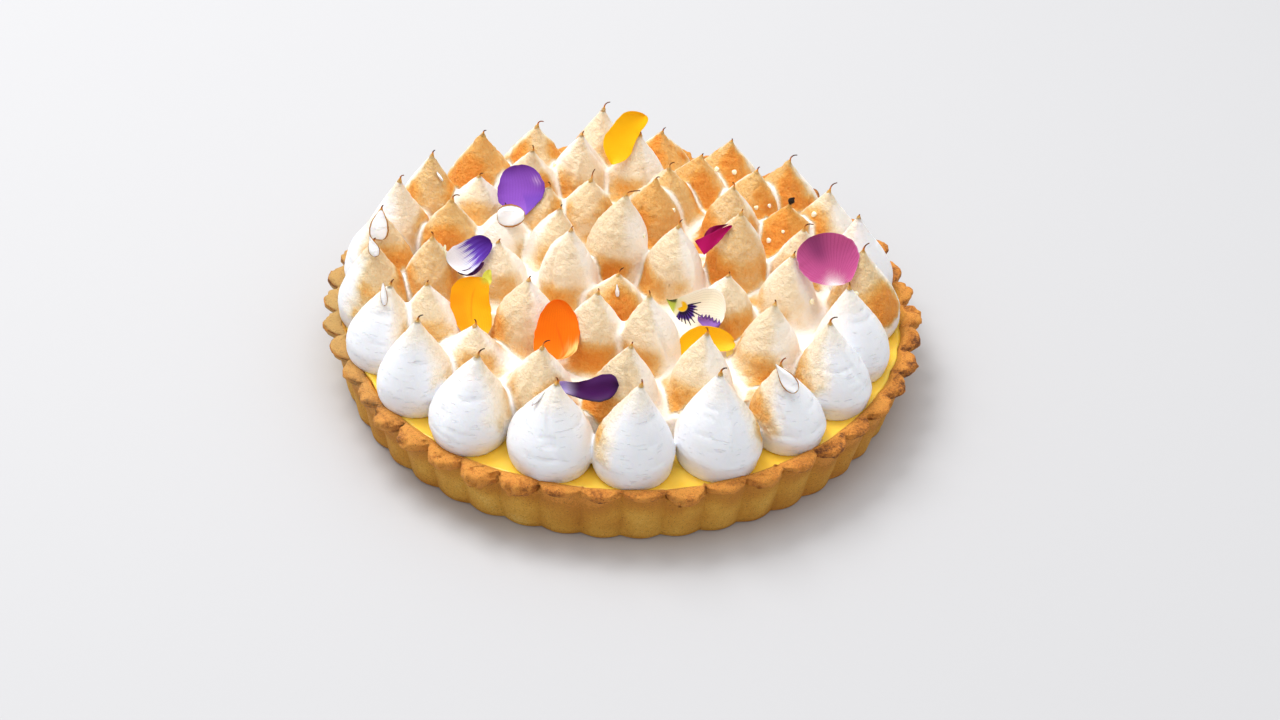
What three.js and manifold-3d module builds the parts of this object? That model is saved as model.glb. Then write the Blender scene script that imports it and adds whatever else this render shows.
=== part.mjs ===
// A lemon meringue pie in a fluted shortcrust case: the baked crust, the lemon curd set in it,
// about five dozen piped meringue kisses that have run together into one topping,
// and the loose flower petals scattered over them.
// Millimetres, +Z up. The origin is the middle of the underside, and the front faces -Y.
import * as THREE from 'three';
import Module from 'manifold-3d';
import { mergeVertices } from 'three/addons/utils/BufferGeometryUtils.js';

const wasm = await Module();
wasm.setup();

const TAU = Math.PI * 2;
const DEGREE = Math.PI / 180;

// The crust: a 24 cm loose-bottomed tin with 46 flutes. Its wall leans out from the base, and
// over each flute the trimmed rim has baked into an ear that hangs out over the wall. The ears
// are smallest at one bearing, near the front, and three flutes carry a large one.
const BASE_RADIUS = 109;
const WALL_TOP_RADIUS = 115.3;
const CRUST_HEIGHT = 26.2;
const FLUTES = 46;
const FLUTE_TURN = 1.9;
const FLUTE_DEPTH_BASE = 2;
const FLUTE_DEPTH_TOP = 2.6;
const FLUTE_ROUNDNESS = 0.6;
const FLUTE_STEPS = [0, 0.17, 0.5, 0.83];
const WALL = 4.2;
const INSIDE_FLUTE_SHARE = 0.35;
const FLOOR = 4;
const FOOT_ROUNDING = 1.3;
const EAR_REACH = 2.7;
const EAR_DROP = 4.6;
const EAR_UNEVEN = 0.5;
const SMALLEST_EAR = 0.5;
const SMALL_EARS_BEARING = 9;
const SMALL_EARS_SPREAD = 24;
const LARGE_EARS = [1, 42, 43];
const LARGE_EAR = 1.3;
const LIP_ROUNDING = 1.2;
const RIM_UNEVEN = 1.5;

// The curd fills the case to just under the rim.
const CURD_TOP = 23.5;
const CLEARANCE = 0.3;

// The meringue: each kiss is [bearing, reach, height, width, lean]. The bearing is in degrees
// from the front towards +X, the reach is from the middle, and the lean moves the tip along +X.
const KISSES_AT_THE_EDGE = [
  [-14, 95.5, 37, 32, 1], [4, 96.5, 40.5, 29.5, 1], [23, 95.5, 41, 32, -2], [41, 96, 34, 28.5, -6],
  [58, 95, 37, 29, -5], [72, 93, 38, 29, -5], [88, 94, 37, 30, -4], [103, 95, 36, 30, -3],
  [121, 93, 30, 29, 0], [138, 96, 28, 29, 0], [155, 96, 26.5, 29, 0], [173, 96, 24, 29, 0],
  [-172, 95, 35, 29, 0], [-155, 95, 31, 29, 0], [-140, 96, 34, 29, 0], [-123, 96, 36, 29, 0],
  [-109, 96.5, 37.5, 29, 0], [-95, 96.5, 38, 29, 0], [-82, 96.5, 39, 29, -1], [-68, 96.5, 35, 29, 2],
  [-51, 96.5, 38, 29, 0], [-34, 95.5, 36.5, 32, 2],
];
const KISSES_BEHIND_THEM = [
  [2, 70, 38, 25.5, 1], [26, 70, 39.5, 25.5, 0], [54, 69, 38, 25.5, 0], [83, 64, 37, 25, 0],
  [103, 72, 33, 25, -2], [122, 75, 28, 25, 0], [141, 79, 29, 25, 1], [159, 76, 29, 25, 1],
  [178, 75, 35, 25, 0], [-164, 77, 35, 25, 0], [-146, 76, 33, 25, 2], [-129, 79, 28, 25, 0],
  [-109, 74, 33.5, 25, 0], [-85, 75, 37, 25, 0], [-65, 79, 34, 25, -3], [-48, 75, 28, 25, 1],
  [-23, 74, 34, 25.5, 0],
];
const KISSES_IN_THE_MIDDLE = [
  [16, 43, 39, 23, -3], [65, 43, 34, 23, 0], [109, 46, 40.5, 24, 0], [133, 57, 36, 23, -1],
  [163, 57, 33, 22.5, -2], [167, 43, 36, 23, 0], [-160, 47, 33.5, 23, 0], [-140, 55, 29, 22.5, 3],
  [-117, 55, 30.5, 21.5, 0], [-91, 50, 31, 23, 0], [-49, 48, 37, 24, 0], [-14, 41, 39, 23, 0],
  [-12, 14, 28, 23, 0], [105, 20, 40, 24, 0], [-165, 16, 46, 24.5, 3], [-126, 36, 34, 21.5, 2],
  [-85, 22, 40.5, 24, 0],
];

// A kiss's side above its shoulder is (1 - rise ** bow) ** draught: a larger bow keeps it full
// for longer, and a larger draught draws it out to a finer tip.
const EDGE_TAPER = { bow: 1.6, draught: 1.25 };
const BEHIND_TAPER = { bow: 2.2, draught: 1.4 };
const MIDDLE_TAPER = { bow: 3, draught: 1.6 };
const FOOT_SHARE = 0.86;
const SHOULDER = 0.19;
const HOOK = 1.6;
const KISS_OVAL = 0.035;
const KISS_LOBES = 0.02;

// A kiss has few sides, which are drawn this much further out so that they keep its volume.
const KISS_SIDES = 9;
const SIDE_ALLOWANCE = 1.03;
const KISS_LEVELS = [0, 0.1, 0.26, 0.47, 0.68, 0.88];
const CORE_RADIUS = 84;
const CORE_HEIGHT = 9.5;
const CORE_SLOPE = 3;
const CORE_SIDES = 32;

// The petals: each is placed by the middle of its blade, and turned by the way that its face
// looks (bearing and tilt above the horizon) and by a spin in its own plane. Its outline is an
// ellipse's, shaped by half its width at five stations along it, and its middle line swings
// aside at five others. It is cupped across and bowed along. One petal is cut off near its base.
const PETAL_THICKNESS = 0.6;
const WIDTH_STATIONS = [0.1, 0.3, 0.5, 0.7, 0.9];
const SWING_STATIONS = [0, 0.25, 0.5, 0.75, 1];
const PETALS = [
  {
    name: 'petal_amber_back', at: [-1.6, 73.9, 55.4], length: 24.6, look: [0, 36], spin: -32,
    cup: 1.6, bow: 1.2, start: 0, halfWidths: [3.6, 6.4, 5.9, 5.4, 4.3],
    swings: [0.6, -1.6, -2.3, -2.4, 0.4], colour: 0xf9b81f,
  },
  {
    name: 'petal_purple_round', at: [-42.9, 42.1, 49.2], length: 20.6, look: [-12, 42], spin: 15,
    cup: 1.2, bow: 1, start: 0, halfWidths: [3.9, 8.6, 9.7, 8.7, 6.1],
    swings: [1.2, -0.6, 0, 0, -0.4], colour: 0x7d41b4,
  },
  {
    name: 'petal_violet_curled', at: [-60.5, -3.1, 50.5], length: 18.9, look: [18, 42], spin: -70,
    cup: 1.6, bow: 1.6, start: 0, halfWidths: [4.2, 6, 5.7, 5, 3.4],
    swings: [0.3, 2.1, 1.8, 0.8, 1], colour: 0x6a47b5,
  },
  {
    name: 'petal_amber_left', at: [-54.5, -30.3, 43.2], length: 23.4, look: [10, 46], spin: 174,
    cup: 1.3, bow: 1.2, start: 0, halfWidths: [6.2, 7.3, 7.6, 7.1, 5.3],
    swings: [0.6, 2.5, 2, 0.6, 0], colour: 0xffa014,
  },
  {
    name: 'petal_orange', at: [-24.2, -45.9, 46.8], length: 22.5, look: [0, 38], spin: 2,
    cup: 1.4, bow: 1.4, start: 0, halfWidths: [6.9, 8.5, 8.2, 7, 4.3],
    swings: [-0.8, -0.6, -0.1, 0, 0], colour: 0xff7314,
  },
  {
    name: 'petal_aubergine', at: [-10.3, -76.9, 45.3], length: 22.2, look: [-20, 38], spin: -83.7,
    cup: 2.2, bow: 1.4, start: 0, halfWidths: [2, 2.8, 3.9, 4.9, 4.1],
    swings: [0.3, 1.8, 1.7, 0.6, -0.6], colour: 0x501450,
  },
  {
    name: 'petal_magenta', at: [34, 9.2, 53.2], length: 17.6, look: [0, 36], spin: -54,
    cup: 0.5, bow: 0.8, start: 0.12, halfWidths: [3.2, 2.9, 2.4, 1.7, 0.8],
    swings: [0.3, 0.3, 0.3, 0, 0], colour: 0x8c0046,
  },
  {
    name: 'petal_mauve', at: [78.2, -6.1, 56.3], length: 22.2, look: [12, 36], spin: 22.8,
    cup: 2.4, bow: 1.6, start: 0, halfWidths: [5.6, 10.4, 11.9, 11, 7.4],
    swings: [1.8, 0.6, 0, -1.2, -3], colour: 0xb94b8c,
  },
  {
    name: 'petal_cream', at: [27.9, -26.7, 46.3], length: 23, look: [0, 36], spin: -101,
    cup: 1.2, bow: 1, start: 0, halfWidths: [1.6, 5, 7.2, 7.9, 6.1],
    swings: [0, 1.8, 0.7, -0.4, 0.5], colour: 0xf5efd8,
  },
  {
    name: 'petal_lilac_scrap', at: [33.1, -31.6, 43.1], length: 9, look: [0, 36], spin: -100,
    cup: 0.4, bow: 0.4, start: 0, halfWidths: [1.2, 1.9, 2.5, 2.2, 1.2],
    swings: [-0.4, 0.3, 0.8, 1.2, -0.2], colour: 0x9664be,
  },
  {
    name: 'petal_yellow', at: [31.2, -38.8, 36.8], length: 23.4, look: [20, 38], spin: 99,
    cup: 1.6, bow: 2.4, start: 0, halfWidths: [3.8, 5, 5.3, 5, 3.8],
    swings: [-1.6, 1, 2.2, 1, -1.6], colour: 0xfabe14,
  },
];
const PETAL_ROWS = 6;
const PETAL_COLUMNS = 4;
const PETAL_END = 0.035;
const PETAL_WAVE = 0.3;
const WAVE_ALONG = 6;
const WAVE_ACROSS = 2.4;

// A repeatable number from 0 to 1 for item number k of a series.
function draw(series, k) {
  const value = Math.sin(series * 12.9898 + k * 78.233) * 43758.5453;
  return value - Math.floor(value);
}

function mix(a, b, share) {
  return a + (b - a) * share;
}

function clamp(value, low, high) {
  return Math.min(Math.max(value, low), high);
}

// The polynomial that takes the given values at the given places (Lagrange's form).
function curveThrough(places, values, at) {
  let total = 0;
  for (let k = 0; k < places.length; k += 1) {
    let term = values[k];
    for (let other = 0; other < places.length; other += 1) {
      if (other !== k) {
        term *= (at - places[other]) / (places[k] - places[other]);
      }
    }
    total += term;
  }
  return total;
}

// A closed solid skinned over rings of equally many points, each end closed by a point.
// The rings run anticlockwise seen from the last pole, which makes the faces look outwards.
function solidOfRings(firstPole, rings, lastPole) {
  const sides = rings[0].length;
  const points = [firstPole, ...rings.flat(), lastPole];
  const last = points.length - 1;
  const faces = [];
  for (let side = 0; side < sides; side += 1) {
    const next = (side + 1) % sides;
    faces.push(0, 1 + next, 1 + side);
    for (let row = 0; row + 1 < rings.length; row += 1) {
      const below = 1 + row * sides;
      const above = below + sides;
      faces.push(below + side, below + next, above + next);
      faces.push(below + side, above + next, above + side);
    }
    faces.push(last, last - sides + side, last - sides + next);
  }
  return geometryOf(points, faces);
}

function geometryOf(points, faces) {
  const geometry = new THREE.BufferGeometry();
  geometry.setAttribute('position', new THREE.Float32BufferAttribute(points.flat(), 3));
  geometry.setIndex(faces);
  geometry.computeVertexNormals();
  return geometry;
}

// Joins closed geometries into one closed body. Only its outermost shell is kept, which fills
// the hollows that the joining seals.
function union(geometries) {
  let whole = null;
  for (const geometry of geometries) {
    const bare = geometry.clone();
    bare.deleteAttribute('normal');
    const merged = mergeVertices(bare, 1e-4);
    const solid = new wasm.Manifold(new wasm.Mesh({
      numProp: 3,
      vertProperties: new Float32Array(merged.attributes.position.array),
      triVerts: new Uint32Array(merged.index.array),
    }));
    whole = whole === null ? solid : whole.add(solid);
  }
  const shells = whole.decompose();
  shells.sort((a, b) => b.volume() - a.volume());
  const mesh = shells[0].getMesh();
  const geometry = new THREE.BufferGeometry();
  geometry.setAttribute('position', new THREE.BufferAttribute(mesh.vertProperties, 3));
  geometry.setIndex(new THREE.BufferAttribute(mesh.triVerts, 1));
  geometry.computeVertexNormals();
  return geometry;
}

// ---- the crust ----

// The bearings of the wall's columns: every flute has the same few steps across it.
function wallColumns() {
  const columns = [];
  for (let flute = 0; flute < FLUTES; flute += 1) {
    for (const step of FLUTE_STEPS) {
      columns.push({ flute, step, angle: (flute + step) * TAU / FLUTES + FLUTE_TURN * DEGREE });
    }
  }
  return columns;
}

// A point at a bearing from the front, at a radius and a height.
function onCircle(angle, radius, z) {
  return [Math.sin(angle) * radius, -Math.cos(angle) * radius, z];
}

// How far a flute stands out at a step across it: a round bulge between narrow grooves.
function bulge(step) {
  return Math.sin(step * Math.PI) ** FLUTE_ROUNDNESS;
}

function fluteDepth(share) {
  return mix(FLUTE_DEPTH_BASE, FLUTE_DEPTH_TOP, share);
}

// The outside radius at a height share of 0 at the base to 1 at the rim.
function outerRadius(column, share) {
  return mix(BASE_RADIUS, WALL_TOP_RADIUS, share) - fluteDepth(share) * (1 - bulge(column.step));
}

// The inside radius follows the flutes more gently.
function innerRadius(column, share) {
  const ripple = INSIDE_FLUTE_SHARE * fluteDepth(share) * (1 - bulge(column.step));
  return mix(BASE_RADIUS, WALL_TOP_RADIUS, share) - WALL - ripple;
}

// How far the ear over a flute hangs out, as a share of the usual.
function earSize({ flute, angle }) {
  const off = (angle / DEGREE - SMALL_EARS_BEARING + 540) % 360 - 180;
  const shrinking = (1 - SMALLEST_EAR) * Math.exp(-((off / SMALL_EARS_SPREAD) ** 2));
  const size = 1 - shrinking + EAR_UNEVEN * (draw(5, flute) - 0.5);
  return LARGE_EARS.includes(flute) ? LARGE_EAR : clamp(size, SMALLEST_EAR, 1);
}

function earRadius(column, share) {
  return outerRadius(column, share) + EAR_REACH * earSize(column) * bulge(column.step) ** 2;
}

function rimHeight(column) {
  const crag = (draw(11, column.flute) - 0.5) * RIM_UNEVEN;
  return CRUST_HEIGHT - RIM_UNEVEN / 2 + crag * bulge(column.step);
}

function crustGeometry() {
  const columns = wallColumns();
  const under = CRUST_HEIGHT - EAR_DROP;
  const share = (z) => z / CRUST_HEIGHT;
  const top = (column, drop) => rimHeight(column) - drop;
  const rows = [
    (column) => onCircle(column.angle, outerRadius(column, 0) - FOOT_ROUNDING, 0),
    (column) => onCircle(column.angle, outerRadius(column, share(FOOT_ROUNDING)), FOOT_ROUNDING),
    (column) => onCircle(column.angle, outerRadius(column, share(under)), under),
    (column) => onCircle(column.angle, earRadius(column, share(under)), under + EAR_DROP / 4),
    (column) => onCircle(column.angle, earRadius(column, 1), top(column, LIP_ROUNDING)),
    (column) => onCircle(column.angle, outerRadius(column, 1) - LIP_ROUNDING / 2, top(column, 0)),
    (column) => onCircle(column.angle, innerRadius(column, 1), top(column, LIP_ROUNDING / 2)),
    (column) => onCircle(column.angle, innerRadius(column, share(CURD_TOP)), CURD_TOP),
    (column) => onCircle(column.angle, innerRadius(column, share(FLOOR)), FLOOR),
  ];
  const rings = rows.map((row) => columns.map(row));
  return solidOfRings([0, 0, 0], rings, [0, 0, FLOOR]);
}

// ---- the lemon curd ----

function curdGeometry() {
  const columns = wallColumns();
  const rings = [FLOOR, CURD_TOP].map((z) => columns.map((column) => {
    const radius = innerRadius(column, z / CRUST_HEIGHT) - CLEARANCE;
    return onCircle(column.angle, radius, z);
  }));
  return solidOfRings([0, 0, FLOOR], rings, [0, 0, CURD_TOP]);
}

// ---- the meringue ----

// A kiss's radius, as a share of its largest, at a height share of 0 to 1:
// it swells from a drawn-in foot to a round shoulder, then falls away to a fine tip.
function kissProfile(height, { bow, draught }) {
  if (height < SHOULDER) {
    return mix(FOOT_SHARE, 1, Math.sin(Math.PI / 2 * height / SHOULDER));
  }
  const rise = (height - SHOULDER) / (1 - SHOULDER);
  return (1 - rise ** bow) ** draught;
}

// One kiss: rings over its height, each a little out of round, drawn over to its tip.
function kissGeometry([bearing, reach, height, width, lean], taper, number) {
  const [x, y] = onCircle(bearing * DEGREE, reach, 0);
  const phase = draw(17, number) * TAU;
  const middle = (share) => [
    x + lean * share ** 2 + HOOK * share ** 8,
    y + HOOK * (draw(19, number) - 0.5) * share ** 2,
    CURD_TOP + height * share,
  ];
  const rings = KISS_LEVELS.map((share, level) => {
    const [cx, cy, cz] = middle(share);
    const points = [];
    for (let side = 0; side < KISS_SIDES; side += 1) {
      const angle = (side + 0.5 * (level % 2)) * TAU / KISS_SIDES + phase;
      const uneven = 1 + KISS_OVAL * Math.sin(2 * angle + phase) + KISS_LOBES * Math.sin(3 * angle);
      const radius = 0.5 * width * SIDE_ALLOWANCE * kissProfile(share, taper) * uneven;
      points.push([cx + radius * Math.cos(angle), cy + radius * Math.sin(angle), cz]);
    }
    return points;
  });
  return solidOfRings([x, y, CURD_TOP], rings, middle(1));
}

// The low bed of meringue where the kisses have run together.
function coreGeometry() {
  const ring = (radius, z) => {
    const points = [];
    for (let side = 0; side < CORE_SIDES; side += 1) {
      points.push(onCircle(side * TAU / CORE_SIDES, radius, z));
    }
    return points;
  };
  const rings = [ring(CORE_RADIUS, CURD_TOP), ring(CORE_RADIUS - CORE_SLOPE, CURD_TOP + CORE_HEIGHT)];
  return solidOfRings([0, 0, CURD_TOP], rings, [0, 0, CURD_TOP + CORE_HEIGHT]);
}

function meringueGeometry() {
  const kisses = [
    ...KISSES_AT_THE_EDGE.map((row) => ({ row, taper: EDGE_TAPER })),
    ...KISSES_BEHIND_THEM.map((row) => ({ row, taper: BEHIND_TAPER })),
    ...KISSES_IN_THE_MIDDLE.map((row) => ({ row, taper: MIDDLE_TAPER })),
  ];
  const solids = kisses.map(({ row, taper }, number) => kissGeometry(row, taper, number));
  return union([coreGeometry(), ...solids]);
}

// ---- the petals ----

// Half the width of a petal's outline at a share of its length.
function petalHalfWidth(halfWidths, along) {
  const ellipse = (place) => Math.sqrt(1 - (2 * place - 1) ** 2);
  const factors = halfWidths.map((half, k) => half / ellipse(WIDTH_STATIONS[k]));
  return ellipse(along) * curveThrough(WIDTH_STATIONS, factors, along);
}

// A petal lies in its own XY plane, its length along Y, cupped, bowed and waved along Z.
// Both faces are one grid, so they are split into triangles alike.
function petalGeometry({ length, cup, bow, start, halfWidths, swings }, number) {
  const rows = PETAL_ROWS + 1;
  const columns = PETAL_COLUMNS + 1;
  const surface = (row, column, lift) => {
    const rounded = 0.5 - 0.5 * Math.cos(Math.PI * row / PETAL_ROWS);
    const along = mix(Math.max(start, PETAL_END), 1 - PETAL_END, rounded);
    const across = column / PETAL_COLUMNS * 2 - 1;
    const swing = curveThrough(SWING_STATIONS, swings, along);
    const wave = PETAL_WAVE * Math.sin(WAVE_ALONG * along + WAVE_ACROSS * across + number);
    const x = swing + petalHalfWidth(halfWidths, along) * across;
    const z = cup * (across ** 2 - 0.5) + bow * (2 * along - 1) ** 2 + wave + lift;
    return [x, length * (along - 0.5), z];
  };
  const points = [];
  for (const lift of [-PETAL_THICKNESS / 2, PETAL_THICKNESS / 2]) {
    for (let row = 0; row < rows; row += 1) {
      for (let column = 0; column < columns; column += 1) {
        points.push(surface(row, column, lift));
      }
    }
  }
  const upper = rows * columns;
  const faces = [];
  for (let row = 0; row < PETAL_ROWS; row += 1) {
    for (let column = 0; column < PETAL_COLUMNS; column += 1) {
      const a = row * columns + column;
      const b = a + 1;
      const c = b + columns;
      const d = a + columns;
      faces.push(upper + a, upper + b, upper + c, upper + a, upper + c, upper + d);
      faces.push(a, c, b, a, d, c);
    }
  }
  for (const [from, to] of petalEdge(rows, columns)) {
    faces.push(from, to, upper + to, from, upper + to, upper + from);
  }
  return geometryOf(points, faces);
}

// The pairs of neighbouring points round a grid's edge, anticlockwise.
function petalEdge(rows, columns) {
  const loop = [];
  for (let column = 0; column < columns - 1; column += 1) {
    loop.push(column);
  }
  for (let row = 0; row < rows - 1; row += 1) {
    loop.push(row * columns + columns - 1);
  }
  for (let column = columns - 1; column > 0; column -= 1) {
    loop.push((rows - 1) * columns + column);
  }
  for (let row = rows - 1; row > 0; row -= 1) {
    loop.push(row * columns);
  }
  return loop.map((point, k) => [point, loop[(k + 1) % loop.length]]);
}

// Turns a petal's own Z axis to where it looks, after its spin about that axis.
function placePetal(mesh, { at, look: [bearing, tilt], spin }) {
  const outwards = onCircle(bearing * DEGREE, Math.cos(tilt * DEGREE), Math.sin(tilt * DEGREE));
  const face = new THREE.Vector3(...outwards);
  const side = new THREE.Vector3(0, 0, 1).cross(face).normalize();
  const head = face.clone().cross(side);
  const turned = new THREE.Matrix4().makeBasis(side, head, face);
  turned.multiply(new THREE.Matrix4().makeRotationZ(spin * DEGREE));
  mesh.quaternion.setFromRotationMatrix(turned);
  mesh.position.set(...at);
}

// ---- the whole pie ----

function piece(name, geometry, color, roughness) {
  const material = new THREE.MeshStandardMaterial({ color, roughness, metalness: 0 });
  const mesh = new THREE.Mesh(geometry, material);
  mesh.name = name;
  return mesh;
}

const pie = new THREE.Group();
pie.add(piece('crust', crustGeometry(), 0xc8a05a, 0.85));
pie.add(piece('lemon_curd', curdGeometry(), 0xebc33c, 0.35));
pie.add(piece('meringue', meringueGeometry(), 0xf6ede0, 0.6));
PETALS.forEach((petal, number) => {
  const mesh = piece(petal.name, petalGeometry(petal, number), petal.colour, 0.55);
  placePetal(mesh, petal);
  pie.add(mesh);
});

export default pie;
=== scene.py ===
import math
import bpy
import numpy as np
from mathutils import Matrix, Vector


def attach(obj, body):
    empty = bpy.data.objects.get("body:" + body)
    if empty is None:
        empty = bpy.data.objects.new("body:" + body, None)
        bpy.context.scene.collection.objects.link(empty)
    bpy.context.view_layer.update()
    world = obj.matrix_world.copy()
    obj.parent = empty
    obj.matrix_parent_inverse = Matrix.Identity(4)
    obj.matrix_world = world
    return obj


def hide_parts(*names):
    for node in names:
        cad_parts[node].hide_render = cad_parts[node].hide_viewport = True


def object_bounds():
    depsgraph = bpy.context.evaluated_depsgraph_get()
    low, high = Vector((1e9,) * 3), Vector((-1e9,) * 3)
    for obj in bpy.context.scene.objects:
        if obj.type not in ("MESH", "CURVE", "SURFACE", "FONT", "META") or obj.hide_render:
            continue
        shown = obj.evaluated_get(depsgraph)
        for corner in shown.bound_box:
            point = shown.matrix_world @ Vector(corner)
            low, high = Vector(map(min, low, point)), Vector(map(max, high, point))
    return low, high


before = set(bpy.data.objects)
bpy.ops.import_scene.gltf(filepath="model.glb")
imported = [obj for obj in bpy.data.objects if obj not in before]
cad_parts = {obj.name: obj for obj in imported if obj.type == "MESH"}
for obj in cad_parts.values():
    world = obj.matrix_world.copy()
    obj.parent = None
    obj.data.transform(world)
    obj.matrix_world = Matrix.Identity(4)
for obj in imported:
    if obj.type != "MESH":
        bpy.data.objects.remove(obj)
cad_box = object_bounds()

# ---------------------------------------------------------------------------------------------
# Crust
# Shortcrust pressed into a 24 cm fluted tin, trimmed level at the rim and baked blind.
# The tin leaves round flutes between sharp grooves; the trimmed rim bakes to a crumbly brown.
# ---------------------------------------------------------------------------------------------
MM = 0.001
TAU = 2 * math.pi
BASE_RADIUS = 109.0
BASE_ROUNDING = 1.3
UNDERSIDE_RADII = (30, 60, 90, 105.5)
WALL_TOP_RADIUS = 115.3
CRUST_HEIGHT = 26.2
FLOOR = 4.0
FLUTES = 46
FLUTE_TURN = math.radians(1.9)
FLUTE_DEPTH_BASE = 2.0
FLUTE_DEPTH_TOP = 2.6
WALL = 4.2
EAR_REACH = 2.8
EAR_DROP = 4.8
NOTCH = 1.9
# Flutes, counted from the front, whose ears are larger than the rest, and by what share.
LARGE_EARS = {42: 1.0, 43: 0.7, 1: 0.5}
# Bearings in degrees: the rim is thin at the front, and was pressed in at the front's left end.
THIN_FRONT = 9
PRESSED_IN = -63
# The rim's left side, nearest the window light, is painted a duller dough colour: painted shade.
# A bearing and a spread. Only a line along its edge is brown.
LEFT_RIM_SHADE = (-86, 30)
# How far each part is baked, from 0 to 1: the inner wall and the rounded corner under the flutes
# are plain. The rim's crumbs come in between the two bakings at which it starts.
UNDERSIDE_BAKE = 0.35
PLAIN_BAKE = 0.45
EAR_BAKE = 0.69
TOP_BAKE = 0.75
RIM_STARTS = (0.6, 0.72)
# Grain in layers: height (mm, or share of the baking), size of the grains in mm, and seed.
WALL_SWELLS = ((0.30, 9, 1), (0.14, 3.2, 2))
RIM_CRUMBS = ((0.70, 2.8, 3), (0.42, 1.4, 4))
RIM_PITS = ((1, 2.2, 6),)
BAKED_PATCHES = ((0.2, 26, 8), (0.12, 7, 9))
BAKED_CRUMBS = ((0.13, 3.1, 10),)
# Colours as seen, at their places on the way from pale dough to burnt sugar.
BROWNING = [(0.0, (246, 206, 112)), (0.22, (230, 174, 72)), (0.42, (212, 148, 52)),
            (0.6, (198, 128, 44)), (0.74, (228, 154, 66)), (0.86, (202, 126, 48)),
            (1.0, (104, 58, 24))]
# The duller dough colour painted on the rim's left side: painted shade.
SHADE_DOUGH = (190, 156, 96)
BURNT_CRUMB = (120, 70, 34)
BLACK = (0, 0, 0, 1)
WHITE = (1, 1, 1, 1)
COLUMNS_PER_FLUTE = 26
WALL_ROWS = 22
EAR_ROWS = 11
TOP_ROWS = 9
INNER_ROWS = 4
ROOM_INSIDE_THE_BOX = 0.05


def kept_in_box(points):
    """Clips points in millimetres to the box of the CAD solids, less a hair."""
    low, high = (np.array(corner) / MM for corner in cad_box)
    low[2] = -ROOM_INSIDE_THE_BOX
    return np.clip(points, low + ROOM_INSIDE_THE_BOX, high - ROOM_INSIDE_THE_BOX)


def draw(series, k):
    """A repeatable number from 0 to 1: the fraction of a large sine of the series and the item."""
    value = np.sin(series * 12.9898 + np.asarray(k) * 78.233) * 43758.5453
    return value - np.floor(value)


def smooth(low, high, value):
    """Rises from 0 at low to 1 at high along the eased curve 3t^2 - 2t^3."""
    t = np.clip((value - low) / (high - low), 0, 1)
    return t * t * (3 - 2 * t)


def grain(points, size, seed):
    """Relief from -1 to 1: random values on the corners of cubes of a size, eased between."""
    cell = points / size + seed * 17.31
    base = np.floor(cell)
    share = cell - base
    share = share * share * (3 - 2 * share)
    total = np.zeros(len(points))
    for corner in np.ndindex(2, 2, 2):
        value = np.sin((base + corner) @ np.array([127.1, 311.7, 74.7])) * 43758.5453
        weight = np.prod(np.where(np.array(corner) == 1, share, 1 - share), axis=1)
        total += (2 * (value - np.floor(value)) - 1) * weight
    return total


def layered(points, layers):
    """Grain in layers: the sum of each layer's height times the grain of its size and seed."""
    return sum(height * grain(points, size, seed) for height, size, seed in layers)


def on_circle(angle, radius, z):
    """Points at bearings from the front (-Y) towards +X, at a radius and a height."""
    return np.stack(np.broadcast_arrays(np.sin(angle) * radius, -np.cos(angle) * radius, z), -1)


def closed_skin(rings):
    """Quads between rings of equally many points, and a fan of triangles to each end's middle."""
    rows, columns = rings.shape[:2]
    points = np.concatenate([rings.reshape(-1, 3), [rings[0].mean(0)], [rings[-1].mean(0)]])
    row, column = np.divmod(np.arange((rows - 1) * columns), columns)
    here = row * columns + column
    beside = row * columns + (column + 1) % columns
    quads = np.stack([here, beside, beside + columns, here + columns], 1)
    side = np.arange(columns)
    next_side = (side + 1) % columns
    last = (rows - 1) * columns
    first_fan = np.stack([np.full(columns, rows * columns), next_side, side], 1)
    last_fan = np.stack([np.full(columns, rows * columns + 1), last + side, last + next_side], 1)
    return points, quads, np.concatenate([first_fan, last_fan])


def joined(skins):
    """Several skins of points, quads and triangles as one."""
    starts = np.cumsum([0] + [len(points) for points, quads, triangles in skins])[:-1]
    return (np.concatenate([points for points, quads, triangles in skins]),
            np.concatenate([quads + start for start, (points, quads, triangles) in zip(starts, skins)]),
            np.concatenate([triangles + start for start, (points, quads, triangles) in zip(starts, skins)]))


def make_skin(name, points, quads, triangles):
    """A smooth mesh object from points in millimetres."""
    mesh = bpy.data.meshes.new(name)
    mesh.vertices.add(len(points))
    mesh.vertices.foreach_set("co", (np.asarray(points) * MM).astype(np.float32).ravel())
    corners = np.concatenate([np.ravel(quads), np.ravel(triangles)]).astype(np.int32)
    mesh.loops.add(len(corners))
    mesh.loops.foreach_set("vertex_index", corners)
    starts = np.concatenate([np.arange(len(quads)) * 4, len(quads) * 4 + np.arange(len(triangles)) * 3])
    mesh.polygons.add(len(starts))
    mesh.polygons.foreach_set("loop_start", starts.astype(np.int32))
    mesh.polygons.foreach_set("use_smooth", np.ones(len(starts), bool))
    mesh.update(calc_edges=True)
    mesh.validate()
    piece = bpy.data.objects.new(name, mesh)
    bpy.context.scene.collection.objects.link(piece)
    return piece


def make_piece(name, points, quads, triangles, material, nodes):
    """A skin with its material, riding on the pie in place of the CAD nodes named."""
    piece = make_skin(name, points, quads, triangles)
    piece.data.materials.append(material)
    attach(piece, "root")
    if nodes:
        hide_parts(*nodes)
    return piece


def set_number(piece, name, values):
    """Stores one number for each point of a piece, for its material to read."""
    layer = piece.data.attributes.new(name, "FLOAT", "POINT")
    layer.data.foreach_set("value", np.asarray(values, np.float32))


def tone(red, green, blue):
    """A colour as seen, from 0 to 255, as the linear values that a shader takes."""
    seen = np.array([red, green, blue]) / 255
    linear = np.where(seen <= 0.04045, seen / 12.92, ((seen + 0.055) / 1.055) ** 2.4)
    return (*linear.tolist(), 1.0)


def toned(stops):
    """Stops of a ramp with their colours, given as seen, in the values that a shader takes."""
    return [(place, tone(*seen)) for place, seen in stops]


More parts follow.
